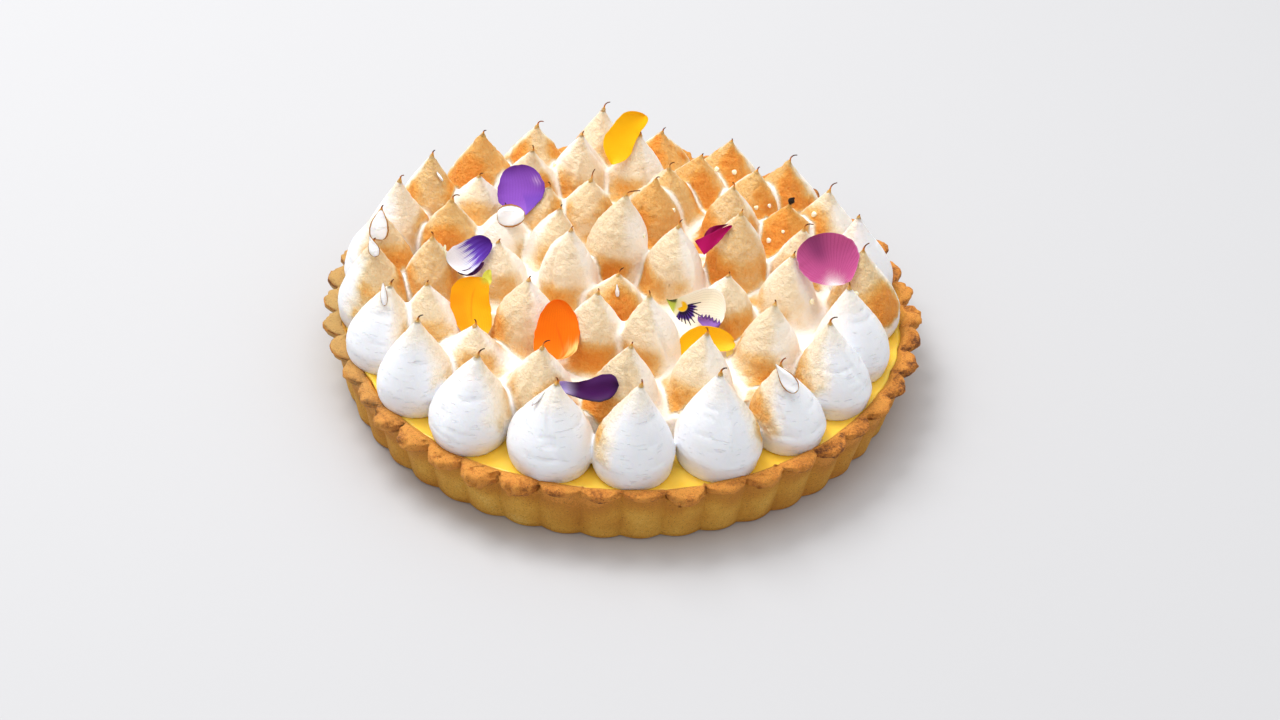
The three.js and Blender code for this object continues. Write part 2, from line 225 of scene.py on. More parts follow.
def new_material(name):
    """An empty node material and its surface shader."""
    material = bpy.data.materials.new(name)
    material.use_nodes = True
    shader = material.node_tree.nodes["Principled BSDF"]
    return material, shader


def add_node(material, kind, inputs=None, **settings):
    """Adds a shader node, sets its options, then sets or links its inputs by name."""
    node = material.node_tree.nodes.new(kind)
    for key, value in settings.items():
        setattr(node, key, value)
    for key, value in (inputs or {}).items():
        if isinstance(value, bpy.types.NodeSocket):
            material.node_tree.links.new(value, node.inputs[key])
        else:
            node.inputs[key].default_value = value
    return node


def ramp(material, factor, stops):
    """A colour ramp through (place, colour) stops, and its colour output."""
    node = add_node(material, "ShaderNodeValToRGB", {"Fac": factor})
    elements = node.color_ramp.elements
    elements[0].position, elements[0].color = stops[0]
    elements[1].position, elements[1].color = stops[-1]
    for place, colour in stops[1:-1]:
        elements.new(place).color = colour
    return node.outputs["Color"]


def blend_colour(material, factor, first, second, mode="MIX"):
    """Mixes two colours by a factor and gives the colour output."""
    node = material.node_tree.nodes.new("ShaderNodeMix")
    node.data_type = "RGBA"
    node.blend_type = mode
    for socket, value in zip((node.inputs[0], node.inputs[6], node.inputs[7]), (factor, first, second)):
        if isinstance(value, bpy.types.NodeSocket):
            material.node_tree.links.new(value, socket)
        else:
            socket.default_value = value
    return node.outputs[2]


def reckon(material, operation, *values, clamp=False):
    """One step of arithmetic on numbers or outputs, and its result."""
    node = add_node(material, "ShaderNodeMath", dict(enumerate(values)), operation=operation,
                    use_clamp=clamp)
    return node.outputs[0]


def measured(material, name):
    """A number stored on the piece's points."""
    return add_node(material, "ShaderNodeAttribute", attribute_name=name).outputs["Fac"]


def speckle(material, scale, detail=3.0, roughness=0.6, stretch=(1, 1, 1)):
    """Noise that is fixed to the piece, with a scale in grains to the metre."""
    place = add_node(material, "ShaderNodeTexCoord").outputs["Object"]
    mapped = add_node(material, "ShaderNodeMapping", {"Vector": place, "Scale": stretch})
    noise = add_node(material, "ShaderNodeTexNoise", {"Vector": mapped.outputs["Vector"], "Scale": scale,
                                                      "Detail": detail, "Roughness": roughness})
    return noise.outputs["Fac"]


def roughen(material, shader, height, strength, distance):
    """Lets a height, scaled by a strength and a distance in metres, tilt the surface's shading."""
    bump = add_node(material, "ShaderNodeBump",
                    {"Height": height, "Strength": strength, "Distance": distance})
    material.node_tree.links.new(bump.outputs["Normal"], shader.inputs["Normal"])


def let_light_in(shader, weight, reach, scale):
    """Light that enters: its weight, and its reach in red, green and blue by a scale in metres."""
    shader.inputs["Subsurface Weight"].default_value = weight
    shader.inputs["Subsurface Radius"].default_value = reach
    shader.inputs["Subsurface Scale"].default_value = scale


def crust_material():
    """Browning from a stored number that also holds painted shade, mixed by another with a duller
    dough colour that is painted shade on the rim's left side, and broken up by crumbs: pale fat
    specks, dark sugar specks."""
    material, shader = new_material("baked_shortcrust")
    lifted = reckon(material, "ADD", speckle(material, 900, 4.0, 0.7), -0.5)
    mottled = reckon(material, "MULTIPLY_ADD", lifted, 0.55, measured(material, "bake_and_shade"))
    colour = ramp(material, mottled, toned(BROWNING))
    # Painted shade: the rim's left side is mixed with the duller dough colour.
    colour = blend_colour(material, measured(material, "pale"), colour, tone(*SHADE_DOUGH))
    crumbs = ramp(material, speckle(material, 2600, 2.0, 0.5),
                  [(0.0, BLACK), (0.6, BLACK), (0.72, WHITE)])
    colour = blend_colour(material, crumbs, colour, tone(*BURNT_CRUMB))
    material.node_tree.links.new(colour, shader.inputs["Base Color"])
    shader.inputs["Roughness"].default_value = 0.72
    shader.inputs["Specular IOR Level"].default_value = 0.3
    let_light_in(shader, 0.12, (0.9, 0.45, 0.15), 0.0015)
    roughen(material, shader, speckle(material, 1700, 5.0, 0.75), 0.8, 0.0009)
    return material


def flute_bulge(angle, power):
    """How far round a flute stands out: a sine of the way across it, to a power under 1."""
    across = ((angle - FLUTE_TURN) * FLUTES / TAU) % 1.0
    return np.sin(np.pi * across) ** power


def flute_number(angle):
    """Which flute a bearing falls in."""
    return np.floor((angle - FLUTE_TURN) * FLUTES / TAU) % FLUTES


def bump_at(angle, bearing, spread):
    """A bell curve in the bearing, in degrees, round the crust."""
    off = (np.degrees(angle) - bearing + 180) % 360 - 180
    return np.exp(-(off / spread) ** 2)


def ear_size(angle):
    """How large the baked ears over the flutes are: small and thin at the front, large elsewhere."""
    flute = flute_number(angle)
    size = 1 - 0.6 * bump_at(angle, THIN_FRONT, 24) + 0.8 * (draw(5, flute) - 0.5)
    return size + sum(share * (flute == number) for number, share in LARGE_EARS.items())


def wall_radius(angle, share):
    """The wall's outside radius: a cone, less the flutes' depth away from each bulge's crown, and
    pressed in a little at the left of the front."""
    depth = FLUTE_DEPTH_BASE + (FLUTE_DEPTH_TOP - FLUTE_DEPTH_BASE) * share
    cone = BASE_RADIUS + (WALL_TOP_RADIUS - BASE_RADIUS) * share
    pressed = 2.2 * bump_at(angle, PRESSED_IN, 15) * share
    return cone - pressed - depth * (1 - flute_bulge(angle, 0.9 - 0.3 * share))


def inner_radius(angle, share):
    """The wall's inside radius, which follows the flutes only faintly. The wall is thinnest at
    the front."""
    cone = BASE_RADIUS + (WALL_TOP_RADIUS - BASE_RADIUS) * share
    thicker = 1.3 * (1 - bump_at(angle, THIN_FRONT, 30))
    pressed = 2.0 * bump_at(angle, PRESSED_IN, 15)
    return cone - WALL - thicker - 0.9 * (1 - flute_bulge(angle, 0.7)) - pressed


def crust_rings():
    """The crust's profile carried round: base, wall, ears that hang over the wall along an
    ellipse's arc, the crumbly top, and the inside. Also how far each point is baked, with painted
    shade added in the flutes' grooves, up the wall under the ears and on the ears' lower halves."""
    angle = np.linspace(0, TAU, FLUTES * COLUMNS_PER_FLUTE, endpoint=False)
    flute = flute_number(angle)
    ear = ear_size(angle)
    crown = flute_bulge(angle, 0.55)
    left = bump_at(angle, *LEFT_RIM_SHADE)
    top = CRUST_HEIGHT - 0.9 + (draw(11, flute) - 0.5) * 1.5 * crown + 0.3 * np.sin(3 * angle)
    top = top - 1.2 * bump_at(angle, PRESSED_IN, 13)
    top = top + (0.4 + 0.9 * np.clip(ear, 0, 1)) * (crown - 0.7)
    half = 0.5 * EAR_DROP * (0.40 + 0.60 * np.clip(ear, 0, 1.6)) * (0.4 + 0.6 * crown)
    reach = EAR_REACH * np.clip(ear, 0.25, 1.5) * crown ** 1.4 * (0.7 + 0.5 * draw(7, flute)) + 0.3
    notch = NOTCH * (1 - crown) * np.clip(ear, 0, 1)
    rings = []
    bake_and_shade = []
    for radius in UNDERSIDE_RADII:
        rings.append(on_circle(angle, radius, 0.0))
        bake_and_shade.append(np.full_like(angle, UNDERSIDE_BAKE))
    for turn in np.linspace(0.15, 1, 4) * math.pi / 2:
        radius = wall_radius(angle, 0.04) - BASE_ROUNDING * (1 - math.sin(turn))
        rings.append(on_circle(angle, radius, BASE_ROUNDING * (1 - math.cos(turn))))
        bake_and_shade.append(np.full_like(angle, PLAIN_BAKE))
    under = top - 2 * half
    for share in np.linspace(0.06, 1, WALL_ROWS):
        height = BASE_ROUNDING + (under - BASE_ROUNDING) * share
        rings.append(on_circle(angle, wall_radius(angle, height / CRUST_HEIGHT), height))
        # Painted shade on the wall: darker up towards the hanging ears, and darker in the grooves between
        # flutes.
        higher = 0.30 * smooth(0.45, 1.0, share) * (0.7 + 0.3 * crown)
        bake_and_shade.append(0.26 + higher + 0.13 * (1 - crown))
    for turn in np.linspace(-0.86, 0.98, EAR_ROWS) * math.pi / 2:
        slope = math.sin(turn)
        height = top - half + half * slope
        radius = wall_radius(angle, height / CRUST_HEIGHT) + (reach - notch) * math.cos(turn) ** 0.75
        rings.append(on_circle(angle, radius, height))
        # Painted shade: the ears' lower halves, which face down over the wall, are darker at the crowns.
        browned_and_shaded = EAR_BAKE + 0.05 * slope + 0.04 * ear + 0.14 * smooth(0.0, -0.8, slope) * crown
        bake_and_shade.append(browned_and_shaded + 0.20 * left * math.exp(-((turn - 0.45) / 0.35) ** 2))
    outside = wall_radius(angle, 1.0)
    inside = inner_radius(angle, 0.97)
    for share in np.linspace(0.08, 1, TOP_ROWS):
        swell = 0.3 * math.sin(math.pi * share) - 0.5 * share ** 2
        radius = outside - notch * (1 - share) + (inside - outside) * share
        rings.append(on_circle(angle, radius, top + swell))
        bake_and_shade.append(TOP_BAKE + 0.12 * (draw(31, flute) - 0.5) - 0.30 * smooth(0.55, 1, share))
    for share in np.linspace(0.25, 1, INNER_ROWS):
        radius = inner_radius(angle, 0.97 - 0.8 * share)
        rings.append(on_circle(angle, radius, top - 0.5 + (FLOOR - top + 0.5) * share))
        bake_and_shade.append(np.full_like(angle, PLAIN_BAKE))
    return np.array(rings), np.array(bake_and_shade)


def bearing_of(points):
    """Each point's bearing round the pie, from the front towards +X."""
    return np.arctan2(points[:, 0], -points[:, 1])


def crust_relief(points, bake_and_shade):
    """Moves points by noise: gentle swells on the wall, and crumbs and pits on the ears."""
    crumbly = smooth(0.62, 0.70, bake_and_shade)
    above = smooth(0.0, 1.5, points[:, 2])
    pits = smooth(0.25, 0.6, layered(points, RIM_PITS))
    rough = 0.45 + 0.55 * ear_size(bearing_of(points))
    amount = layered(points, WALL_SWELLS) + crumbly * rough * (layered(points, RIM_CRUMBS) - pits)
    radius = np.hypot(points[:, 0], points[:, 1])
    outwards = np.stack([points[:, 0] / radius, points[:, 1] / radius, np.zeros_like(radius)], 1)
    upwards = smooth(0.76, 0.82, bake_and_shade)[:, None]
    push = outwards * (1 - 0.6 * upwards) + np.array([0, 0, 1.0]) * upwards
    return kept_in_box(points + push * (above * amount)[:, None])


rings, bake_and_shade = crust_rings()
points, quads, fans = closed_skin(rings)
bake_and_shade = np.concatenate([bake_and_shade.ravel(), [UNDERSIDE_BAKE, PLAIN_BAKE]])
centres = np.hypot(points[:, 0], points[:, 1]) < 1
points[~centres] = crust_relief(points[~centres], bake_and_shade[~centres])
crust = make_piece("crust_shell", points, quads, fans, crust_material(), ["crust"])
on_rim = smooth(*RIM_STARTS, bake_and_shade)
patches = layered(points, BAKED_PATCHES) * (1 - 0.35 * on_rim)
crumbs = layered(points, BAKED_CRUMBS) * on_rim
# Painted shade: the crust is darker and redder towards its right side, away from the window light.
shaded_right = 0.09 * smooth(0.1, 0.9, points[:, 0] / WALL_TOP_RADIUS)
set_number(crust, "bake_and_shade", np.clip(bake_and_shade + patches + crumbs + shaded_right, 0, 1))
# Painted shade: the duller dough colour on the rim's left side, over the ears, the top and the upper wall.
pale = 0.85 * bump_at(bearing_of(points), *LEFT_RIM_SHADE)
set_number(crust, "pale", pale * smooth(0.48, 0.60, bake_and_shade) * smooth(0.88, 0.80, bake_and_shade))

# ---------------------------------------------------------------------------------------------
# Lemon curd
# Poured warm into the case, where it set smooth, with a low meniscus up the crust.
# ---------------------------------------------------------------------------------------------
CURD_TOP = 23.5
CURD_RINGS = 60
CURD_COLUMNS = 460
MENISCUS = 0.9
CURD_UNDERSIDE = FLOOR + 0.1
CURD_SWELLS = ((0.16, 14, 12), (0.07, 5, 13))
CURD_YELLOWS = [(0.3, (252, 196, 54)), (0.7, (252, 208, 80))]


def curd_material():
    """Deep lemon yellow that light enters a little, with a wet shine."""
    material, shader = new_material("set_lemon_curd")
    colour = ramp(material, speckle(material, 60, 2.0, 0.5), toned(CURD_YELLOWS))
    material.node_tree.links.new(colour, shader.inputs["Base Color"])
    shader.inputs["Roughness"].default_value = 0.3
    let_light_in(shader, 0.35, (1.0, 0.6, 0.1), 0.004)
    roughen(material, shader, speckle(material, 240, 3.0, 0.5), 0.25, 0.0006)
    return material


def curd_rings():
    """A disc whose top swells faintly and climbs the last few millimetres to the crust."""
    angle = np.linspace(0, TAU, CURD_COLUMNS, endpoint=False)
    rings = [on_circle(angle, radius, CURD_UNDERSIDE) for radius in (40, inner_radius(angle, 0.2))]
    for share in np.linspace(1, 0.02, CURD_RINGS) ** 0.7:
        edge = inner_radius(angle, 0.88) + 0.25
        climb = MENISCUS * smooth(0.955, 1.0, share) * (0.7 + 0.5 * np.sin(5 * angle) * np.sin(11 * angle))
        rings.append(on_circle(angle, edge * share, CURD_TOP + climb))
    rings = np.array(rings)
    flat = rings.reshape(-1, 3)
    swell = layered(flat * [1, 1, 0], CURD_SWELLS)
    flat[:, 2] += np.where(flat[:, 2] > CURD_UNDERSIDE, swell, 0)
    return rings


points, quads, fans = closed_skin(curd_rings())
make_piece("curd_filling", points, quads, fans, curd_material(), ["lemon_curd"])

# ---------------------------------------------------------------------------------------------
# Meringue
# Stiff meringue piped in kisses from a round nozzle, pulled up to a hooked tip, then toasted
# with a blowtorch: the feet run together and stay white, the flanks brown and the tips burn.
# ---------------------------------------------------------------------------------------------

# Each kiss: bearing in degrees and reach in mm from the middle, height, width, tip's lean
# along +X in mm, how toasted it is, and the bearing that its toasted side faces.
KISSES_AT_THE_EDGE = [
    (-14, 95.5, 37, 32, 1, 0.30, 175), (4, 96.5, 40.5, 29.5, 1, 0.36, -112),
    (23, 95.5, 41, 32, -2, 0.30, 125), (41, 96, 34, 28.5, -6, 0.45, -98),
    (58, 95, 37, 29, -5, 0.48, -92), (72, 93, 38, 29, -5, 0.25, 150), (88, 94, 37, 30, -4, 0.85, 0),
    (103, 95, 36, 30, -3, 0.20, -60), (121, 93, 30, 29, 0, 0.65, -35), (138, 96, 28, 29, 0, 0.95, -25),
    (155, 96, 26.5, 29, 0, 0.95, -10), (173, 96, 24, 29, 0, 1.00, 0), (-172, 95, 35, 29, 0, 0.65, -30),
    (-155, 95, 31, 29, 0, 0.85, 10), (-140, 96, 34, 29, 0, 1.00, 5), (-123, 96, 36, 29, 0, 0.90, 25),
    (-109, 96.5, 37.5, 29, 0, 0.50, 60), (-95, 96.5, 38, 29, 0, 0.85, 55),
    (-82, 96.5, 39, 29, -1, 0.85, 70), (-68, 96.5, 35, 29, 2, 0.45, 90),
    (-51, 96.5, 38, 29, 0, 0.35, 100), (-34, 95.5, 36.5, 32, 2, 0.35, 100),
]
KISSES_BEHIND_THEM = [
    (2, 70, 38, 25.5, 1, 0.65, -30), (26, 70, 39.5, 25.5, 0, 0.50, -50),
    (54, 69, 38, 25.5, 0, 0.50, -55), (83, 64, 37, 25, 0, 0.45, -40), (103, 72, 33, 25, -2, 0.65, -20),
    (122, 75, 28, 25, 0, 1.05, -10), (141, 79, 29, 25, 1, 0.90, -10), (159, 76, 29, 25, 1, 0.95, -5),
    (178, 75, 35, 25, 0, 0.35, -20), (-164, 77, 35, 25, 0, 0.50, 0), (-146, 76, 33, 25, 2, 0.75, 0),
    (-129, 79, 28, 25, 0, 0.40, 10), (-109, 74, 33.5, 25, 0, 0.90, 10), (-85, 75, 37, 25, 0, 0.85, 10),
    (-65, 79, 34, 25, -3, 0.55, -10), (-48, 75, 28, 25, 1, 0.40, 10), (-23, 74, 34, 25.5, 0, 0.60, -10),
]
KISSES_IN_THE_MIDDLE = [
    (16, 43, 39, 23, -3, 0.50, -45), (65, 43, 34, 23, 0, 0.50, 40), (109, 46, 40.5, 24, 0, 0.85, 0),
    (133, 57, 36, 23, -1, 0.85, -20), (163, 57, 33, 22.5, -2, 0.90, 20), (167, 43, 36, 23, 0, 0.95, 0),
    (-160, 47, 33.5, 23, 0, 0.80, 10), (-140, 55, 29, 22.5, 3, 0.80, 10),
    (-117, 55, 30.5, 21.5, 0, 0.20, 60), (-91, 50, 31, 23, 0, 0.40, 20),
    (-49, 48, 37, 24, 0, 0.60, -45), (-14, 41, 39, 23, 0, 0.55, -20), (-12, 14, 28, 23, 0, 0.84, 0),
    (105, 20, 40, 24, 0, 0.55, -50), (-165, 16, 46, 24.5, 3, 0.60, -50),
    (-126, 36, 34, 21.5, 2, 0.65, 30), (-85, 22, 40.5, 24, 0, 0.40, -20),
]
# Each form: the power that bows the flanks out, and the power that draws out the tip.
EDGE_FORM = (1.6, 1.32)
FAR_EDGE_FORM = (1.45, 1.35)
BEHIND_FORM = (2.2, 1.5)
MIDDLE_FORM = (3.0, 1.75)
FAR_FROM_BEARING = 100
FOOT_SHARE = 0.91
SHOULDER = 0.19
HOOK = 1.6
# How far apart, in mm, surfaces begin to run together: kisses in the bed, kisses on the edge, and
# those of the edge with the bed.
SOFT_CONTACT = 4.6
CRISP_CONTACT = 0.8
SEAM = 2.2
CORE_RADIUS = 84.0
CORE_HEIGHT = 9.5
GRID_STEP = 0.6
GRID_REACH = 114.0
GRID_TOP = 71.4
TARGET_TRIANGLES = 182000
TAIL_SIDES = 8
TAIL_RINGS = 18
TAIL_START = 0.88
TAIL_LEAVES = 0.965
TAIL_CEILING = 69.4
TAIL_TIP = 0.2
TAIL_ROOT = 1.0
# The tails that burnt longest: kiss number and length in mm, and the one whose tip is a blob.
LONG_TAILS = {53: 7.0, 45: 6.0, 27: 3.4, 6: 3.6, 7: 0.8, 3: 3.2, 4: 2.6, 21: 2.8, 19: 2.4}
BURNT_BLOB = 27
BLOB_SWELLING = 1.2
# Grain in layers, as for the crust: soft swells, nicks, blisters, and patches of toast.
SOFT_SWELLS = ((0.12, 7, 25), (0.05, 2.6, 26))
NICKS = ((1, 2.6, 24),)
BLISTERS = ((0.34, 2.4, 27), (0.26, 1.5, 28))
TOAST_PATCHES = ((0.6, 9, 21), (0.4, 3.4, 22))
# Colours as seen, at their places on the way from white foam to dark toast.
TOASTING = [(0.0, (236, 238, 243)), (0.10, (254, 243, 230)), (0.24, (255, 230, 194)),
            (0.40, (255, 205, 134)), (0.56, (255, 180, 86)), (0.74, (250, 154, 56)),
            (0.9, (220, 120, 40)), (1.0, (150, 72, 26))]
SOOT = (34, 20, 12)
REACH_OF_A_KISS = 26


def kiss_profile(height, form):
    """Radius share: a sine swelling from the foot to the shoulder, then a power curve to the tip."""
    bow, draught = form
    swelling = FOOT_SHARE + (1 - FOOT_SHARE) * np.sin(np.pi / 2 * np.minimum(height, SHOULDER) / SHOULDER)
    rise = np.clip((height - SHOULDER) / (1 - SHOULDER), 0, 1)
    return np.where(height < SHOULDER, swelling, (1 - rise ** bow) ** draught)


class Kiss:
    """One kiss: its place, its size, and the field that is negative inside it."""

    def __init__(self, number, row, form):
        self.form = form
        bearing, reach, self.height, self.width, self.lean, self.toast, facing = row
        self.number = number
        self.x = math.sin(math.radians(bearing)) * reach
        self.y = -math.cos(math.radians(bearing)) * reach
        self.facing = math.radians(facing - 90)
        self.phase = float(draw(17, number)) * TAU
        self.sway = float(draw(19, number)) - 0.5
        self.ridge = float(draw(29, number)) * TAU
        self.at_the_edge = number < len(KISSES_AT_THE_EDGE)
        self.creased = (0.55 if self.at_the_edge else 1.0) * (0.5 + 0.7 * float(draw(37, number)))
        self.rings = 0.003 + 0.012 * float(draw(59, number))
        hooked = draw(43, number) > 0.25
        length = LONG_TAILS.get(number, 1.0 + 1.7 * float(draw(41, number)) ** 1.3)
        self.curl = (length, 1.0 if hooked or number in LONG_TAILS else -0.35)

    def middle(self, share):
        """The centre line: straight up, drawn over to the tip by rising powers of the height."""
        x = self.x + self.lean * share ** 2 + HOOK * share ** 8
        y = self.y + HOOK * self.sway * share ** 2
        return x, y

    def field(self, x, y, z):
        """Distance to the side of the kiss, about: outside is positive. Also the height share and
        the turn. Sines make the side uneven, one bell curve up it a crease that stands out and
        another a fold pressed in, and a sine of the height faint rings round the foot."""
        share = (z - CURD_TOP) / self.height
        held = np.clip(share, 0, 1)
        cx, cy = self.middle(held)
        angle = np.arctan2(y - cy, x - cx)
        away = np.hypot(x - cx, y - cy)
        uneven = 1 + 0.035 * np.sin(2 * angle + self.phase) + 0.02 * np.sin(3 * angle)
        turn = (angle - self.ridge - 0.5 * held + np.pi) % TAU - np.pi
        uneven += self.creased * 0.16 * np.exp(-(turn / 0.16) ** 2) * smooth(0.15, 0.6, held)
        fold = (angle - self.ridge - 2.6 + 1.1 * held + np.pi) % TAU - np.pi
        uneven -= self.creased * 0.15 * np.exp(-(fold / 0.11) ** 2) * smooth(0.2, 0.5, held)
        uneven += self.rings * np.sin(held * 30 + 0.8 * angle + self.phase) * smooth(0.5, 0.1, held)
        radius = 0.5 * self.width * uneven * kiss_profile(held, self.form)
        lower = kiss_profile(np.clip(held - 0.01, 0, 1), self.form)
        upper = kiss_profile(np.clip(held + 0.01, 0, 1), self.form)
        slope = np.hypot(1, 0.5 * self.width * (upper - lower) / (0.02 * self.height))
        side = (away - radius) / slope
        above = np.hypot(away, z - CURD_TOP - self.height)
        return np.where(share > 1, above, side), share, angle


def soft_join(first, second, reach):
    """The smaller of two fields, rounded off where they are nearer to each other than reach."""
    share = np.clip(0.5 + 0.5 * (second - first) / reach, 0, 1)
    return second + (first - second) * share - reach * share * (1 - share)


def add_kisses(field, axes, kisses, reach):
    """Joins kisses into a field on the grid, each only in the box round it."""
    for kiss in kisses:
        extent = 0.5 * kiss.width * 1.15 + abs(kiss.lean) + 5
        low = (kiss.x - extent, kiss.y - extent, axes[2][0])
        high = (kiss.x + extent, kiss.y + extent, CURD_TOP + kiss.height + 5)
        part = tuple(slice(*np.searchsorted(axis, ends)) for axis, ends in zip(axes, zip(low, high)))
        x, y, z = np.meshgrid(*(axis[span] for axis, span in zip(axes, part)), indexing="ij")
        field[part] = soft_join(kiss.field(x, y, z)[0], field[part], reach)


def skin_of_field(field, axes):
    """Surface nets: a point in each cell that the zero level crosses, at the mean of its edges'
    crossings, and a quad across each grid edge that is crossed, facing out of the negative side."""
    inside = field < 0
    sizes = np.array(field.shape)
    corners = list(np.ndindex(2, 2, 2))

    def shifted(values, corner):
        return values[tuple(slice(c, n - 1 + c) for c, n in zip(corner, sizes))]

    count = sum(shifted(inside, corner).astype(np.int8) for corner in corners)
    active = (count > 0) & (count < 8)
    cells = np.argwhere(active)
    number = np.full(active.shape, -1, np.int64)
    number[active] = np.arange(len(cells))
    total = np.zeros((len(cells), 3))
    hits = np.zeros((len(cells), 1))
    for corner in corners:
        for axis in range(3):
            if corner[axis]:
                continue
            far = tuple(1 if i == axis else c for i, c in enumerate(corner))
            here = shifted(field, corner)[active]
            there = shifted(field, far)[active]
            crossed = (here < 0) != (there < 0)
            share = np.where(crossed, here / np.where(crossed, here - there, 1), 0)
            place = np.repeat(np.array([corner], float), len(cells), 0)
            place[:, axis] += share
            total += place * crossed[:, None]
            hits += crossed[:, None]
    low = np.array([axis[0] for axis in axes])
    points = low + GRID_STEP * (cells + total / hits)
    quads = []
    for axis in range(3):
        u, v = (axis + 1) % 3, (axis + 2) % 3
        near = inside[tuple(slice(int(i != axis), n - 1) for i, n in enumerate(sizes))]
        far = inside[tuple(slice(1, n - int(i != axis)) for i, n in enumerate(sizes))]
        edges = np.argwhere(near != far)
        outward = near[near != far]
        edges[:, u] += 1
        edges[:, v] += 1
        step_u = np.eye(3, dtype=int)[u]
        step_v = np.eye(3, dtype=int)[v]
        ring = [number[tuple((edges - move).T)] for move in (0 * step_u, step_u, step_u + step_v, step_v)]
        ring = np.stack(ring, 1)
        quads.append(np.where(outward[:, None], ring, ring[:, ::-1]))
    return points, np.concatenate(quads)


def meringue_field(edge, behind, middle):
    """The bed and the inner kisses joined softly, then the outer kisses with crisp contacts."""
    across = np.arange(-GRID_REACH, GRID_REACH, GRID_STEP)
    axes = [across, across, np.arange(CURD_TOP - 3 * GRID_STEP, GRID_TOP, GRID_STEP)]
    x, y, z = np.meshgrid(*axes, indexing="ij", sparse=True)
    wavy = CORE_HEIGHT + 0.9 * np.sin(x / 9) * np.sin(y / 11)
    above = z - CURD_TOP
    inner = np.maximum(np.hypot(x, y) - CORE_RADIUS + 0.35 * above, above - wavy)
    add_kisses(inner, axes, middle + behind, SOFT_CONTACT)
    outer = np.full(inner.shape, 50.0)
    add_kisses(outer, axes, edge, CRISP_CONTACT)
    return np.maximum(soft_join(outer, inner, SEAM), -above), axes


def tail_tubes(kisses):
    """A thin burnt curl on every tip: a tapering tube along the kiss's own centre line, which
    leaves the tip upright and turns over sideways and down along a quarter circle."""
    turn = np.linspace(0, TAU, TAIL_SIDES, endpoint=False)
    along = np.linspace(0, 1, TAIL_RINGS)
    parts = []
    for kiss in kisses:
        length, side = kiss.curl
        stem = TAIL_START + (TAIL_LEAVES - TAIL_START) * np.minimum(along / 0.5, 1)
        cx, cy = kiss.middle(stem)
        bend = np.clip((along - 0.5) / 0.5, 0, 1) * (0.6 + 1.3 * draw(47, kiss.number))
        cx = cx + side * length * (1 - np.cos(bend))
        cy = cy + (draw(49, kiss.number) - 0.5) * length * bend * 0.6
        room = TAIL_CEILING - CURD_TOP - TAIL_LEAVES * kiss.height
        cz = CURD_TOP + kiss.height * stem + min(1, room / (length + 0.6)) * length * np.sin(bend)
        solid = 0.5 * kiss.width * kiss_profile(stem, kiss.form)
        tapered = np.minimum(1, 2 - 2 * along) ** 1.2
        radius = TAIL_TIP + (np.minimum(solid, TAIL_ROOT) - TAIL_TIP) * tapered
        if kiss.number == BURNT_BLOB:
            radius = radius + BLOB_SWELLING * np.exp(-((along - 0.74) / 0.17) ** 2)
        path = np.stack([cx, cy, cz], 1)
        tangent = np.gradient(path, axis=0)
        tangent /= np.linalg.norm(tangent, axis=1)[:, None]
        across = np.cross(tangent, [0, 1.0, 0])
        across /= np.linalg.norm(across, axis=1)[:, None]
        third = np.cross(tangent, across)
        ring = across[:, None] * np.cos(turn)[:, None] + third[:, None] * np.sin(turn)[:, None]
        parts.append(path[:, None] + ring * radius[:, None, None])
    return parts


def meringue_material():
    """White foam that light enters, browned by a stored toast number and burnt by another. Fine
    pale and brown specks break the toast up, its skin is blistered, and the white has thin nicks."""
    material, shader = new_material("toasted_meringue")
    toast = measured(material, "toast")
    lifted = reckon(material, "ADD", speckle(material, 900, 5.0, 0.75), -0.5)
    rough = reckon(material, "MULTIPLY_ADD", toast, 0.75, 0.04)
    uneven = reckon(material, "MULTIPLY_ADD", lifted, rough, toast)
    colour = ramp(material, uneven, toned(TOASTING))
    colour = blend_colour(material, measured(material, "char"), colour, tone(*SOOT))
    material.node_tree.links.new(colour, shader.inputs["Base Color"])
    shader.inputs["Roughness"].default_value = 0.55
    shader.inputs["Specular IOR Level"].default_value = 0.25
    let_light_in(shader, 0.3, (1.0, 0.75, 0.55), 0.001)
    skin = reckon(material, "MULTIPLY_ADD", toast, 2.4, 0.06, clamp=True)
    blisters = reckon(material, "MULTIPLY", speckle(material, 560, 4.0, 0.72), skin)
    streaks = speckle(material, 210, 2.0, 0.5, (1.0, 1.0, 7.0))
    nicks = ramp(material, streaks, [(0.0, WHITE), (0.64, WHITE), (0.68, BLACK)])
    height = reckon(material, "MULTIPLY_ADD", nicks, 0.06, blisters)
    roughen(material, shader, height, 1.0, 0.003)
    return material


def outward_of(points, quads):
    """Each point's outward direction: the mean of its quads' normals, weighted by their areas."""
    one, two, three, four = (points[quads[:, corner]] for corner in range(4))
    flat = np.cross(three - one, four - two).repeat(4, 0)
    total = np.stack([np.bincount(quads.ravel(), flat[:, axis], len(points)) for axis in range(3)], 1)
    return total / np.maximum(np.linalg.norm(total, axis=1), 1e-9)[:, None]


def meringue_relief(points, toast):
    """Height in mm of the fine relief: soft swells, thin level nicks where the nozzle stuttered,
    and blisters that come up with the toast."""
    level = points * [0.28, 0.28, 1.7]
    nicks = -0.14 * smooth(0.5, 0.62, layered(level, NICKS)) * smooth(0.35, 0.1, toast)
    blisters = layered(points, BLISTERS) * smooth(0.03, 0.3, toast)
    off_the_curd = smooth(CURD_TOP + 0.5, CURD_TOP + 3, points[:, 2])
    return (layered(points, SOFT_SWELLS) + nicks + blisters) * off_the_curd


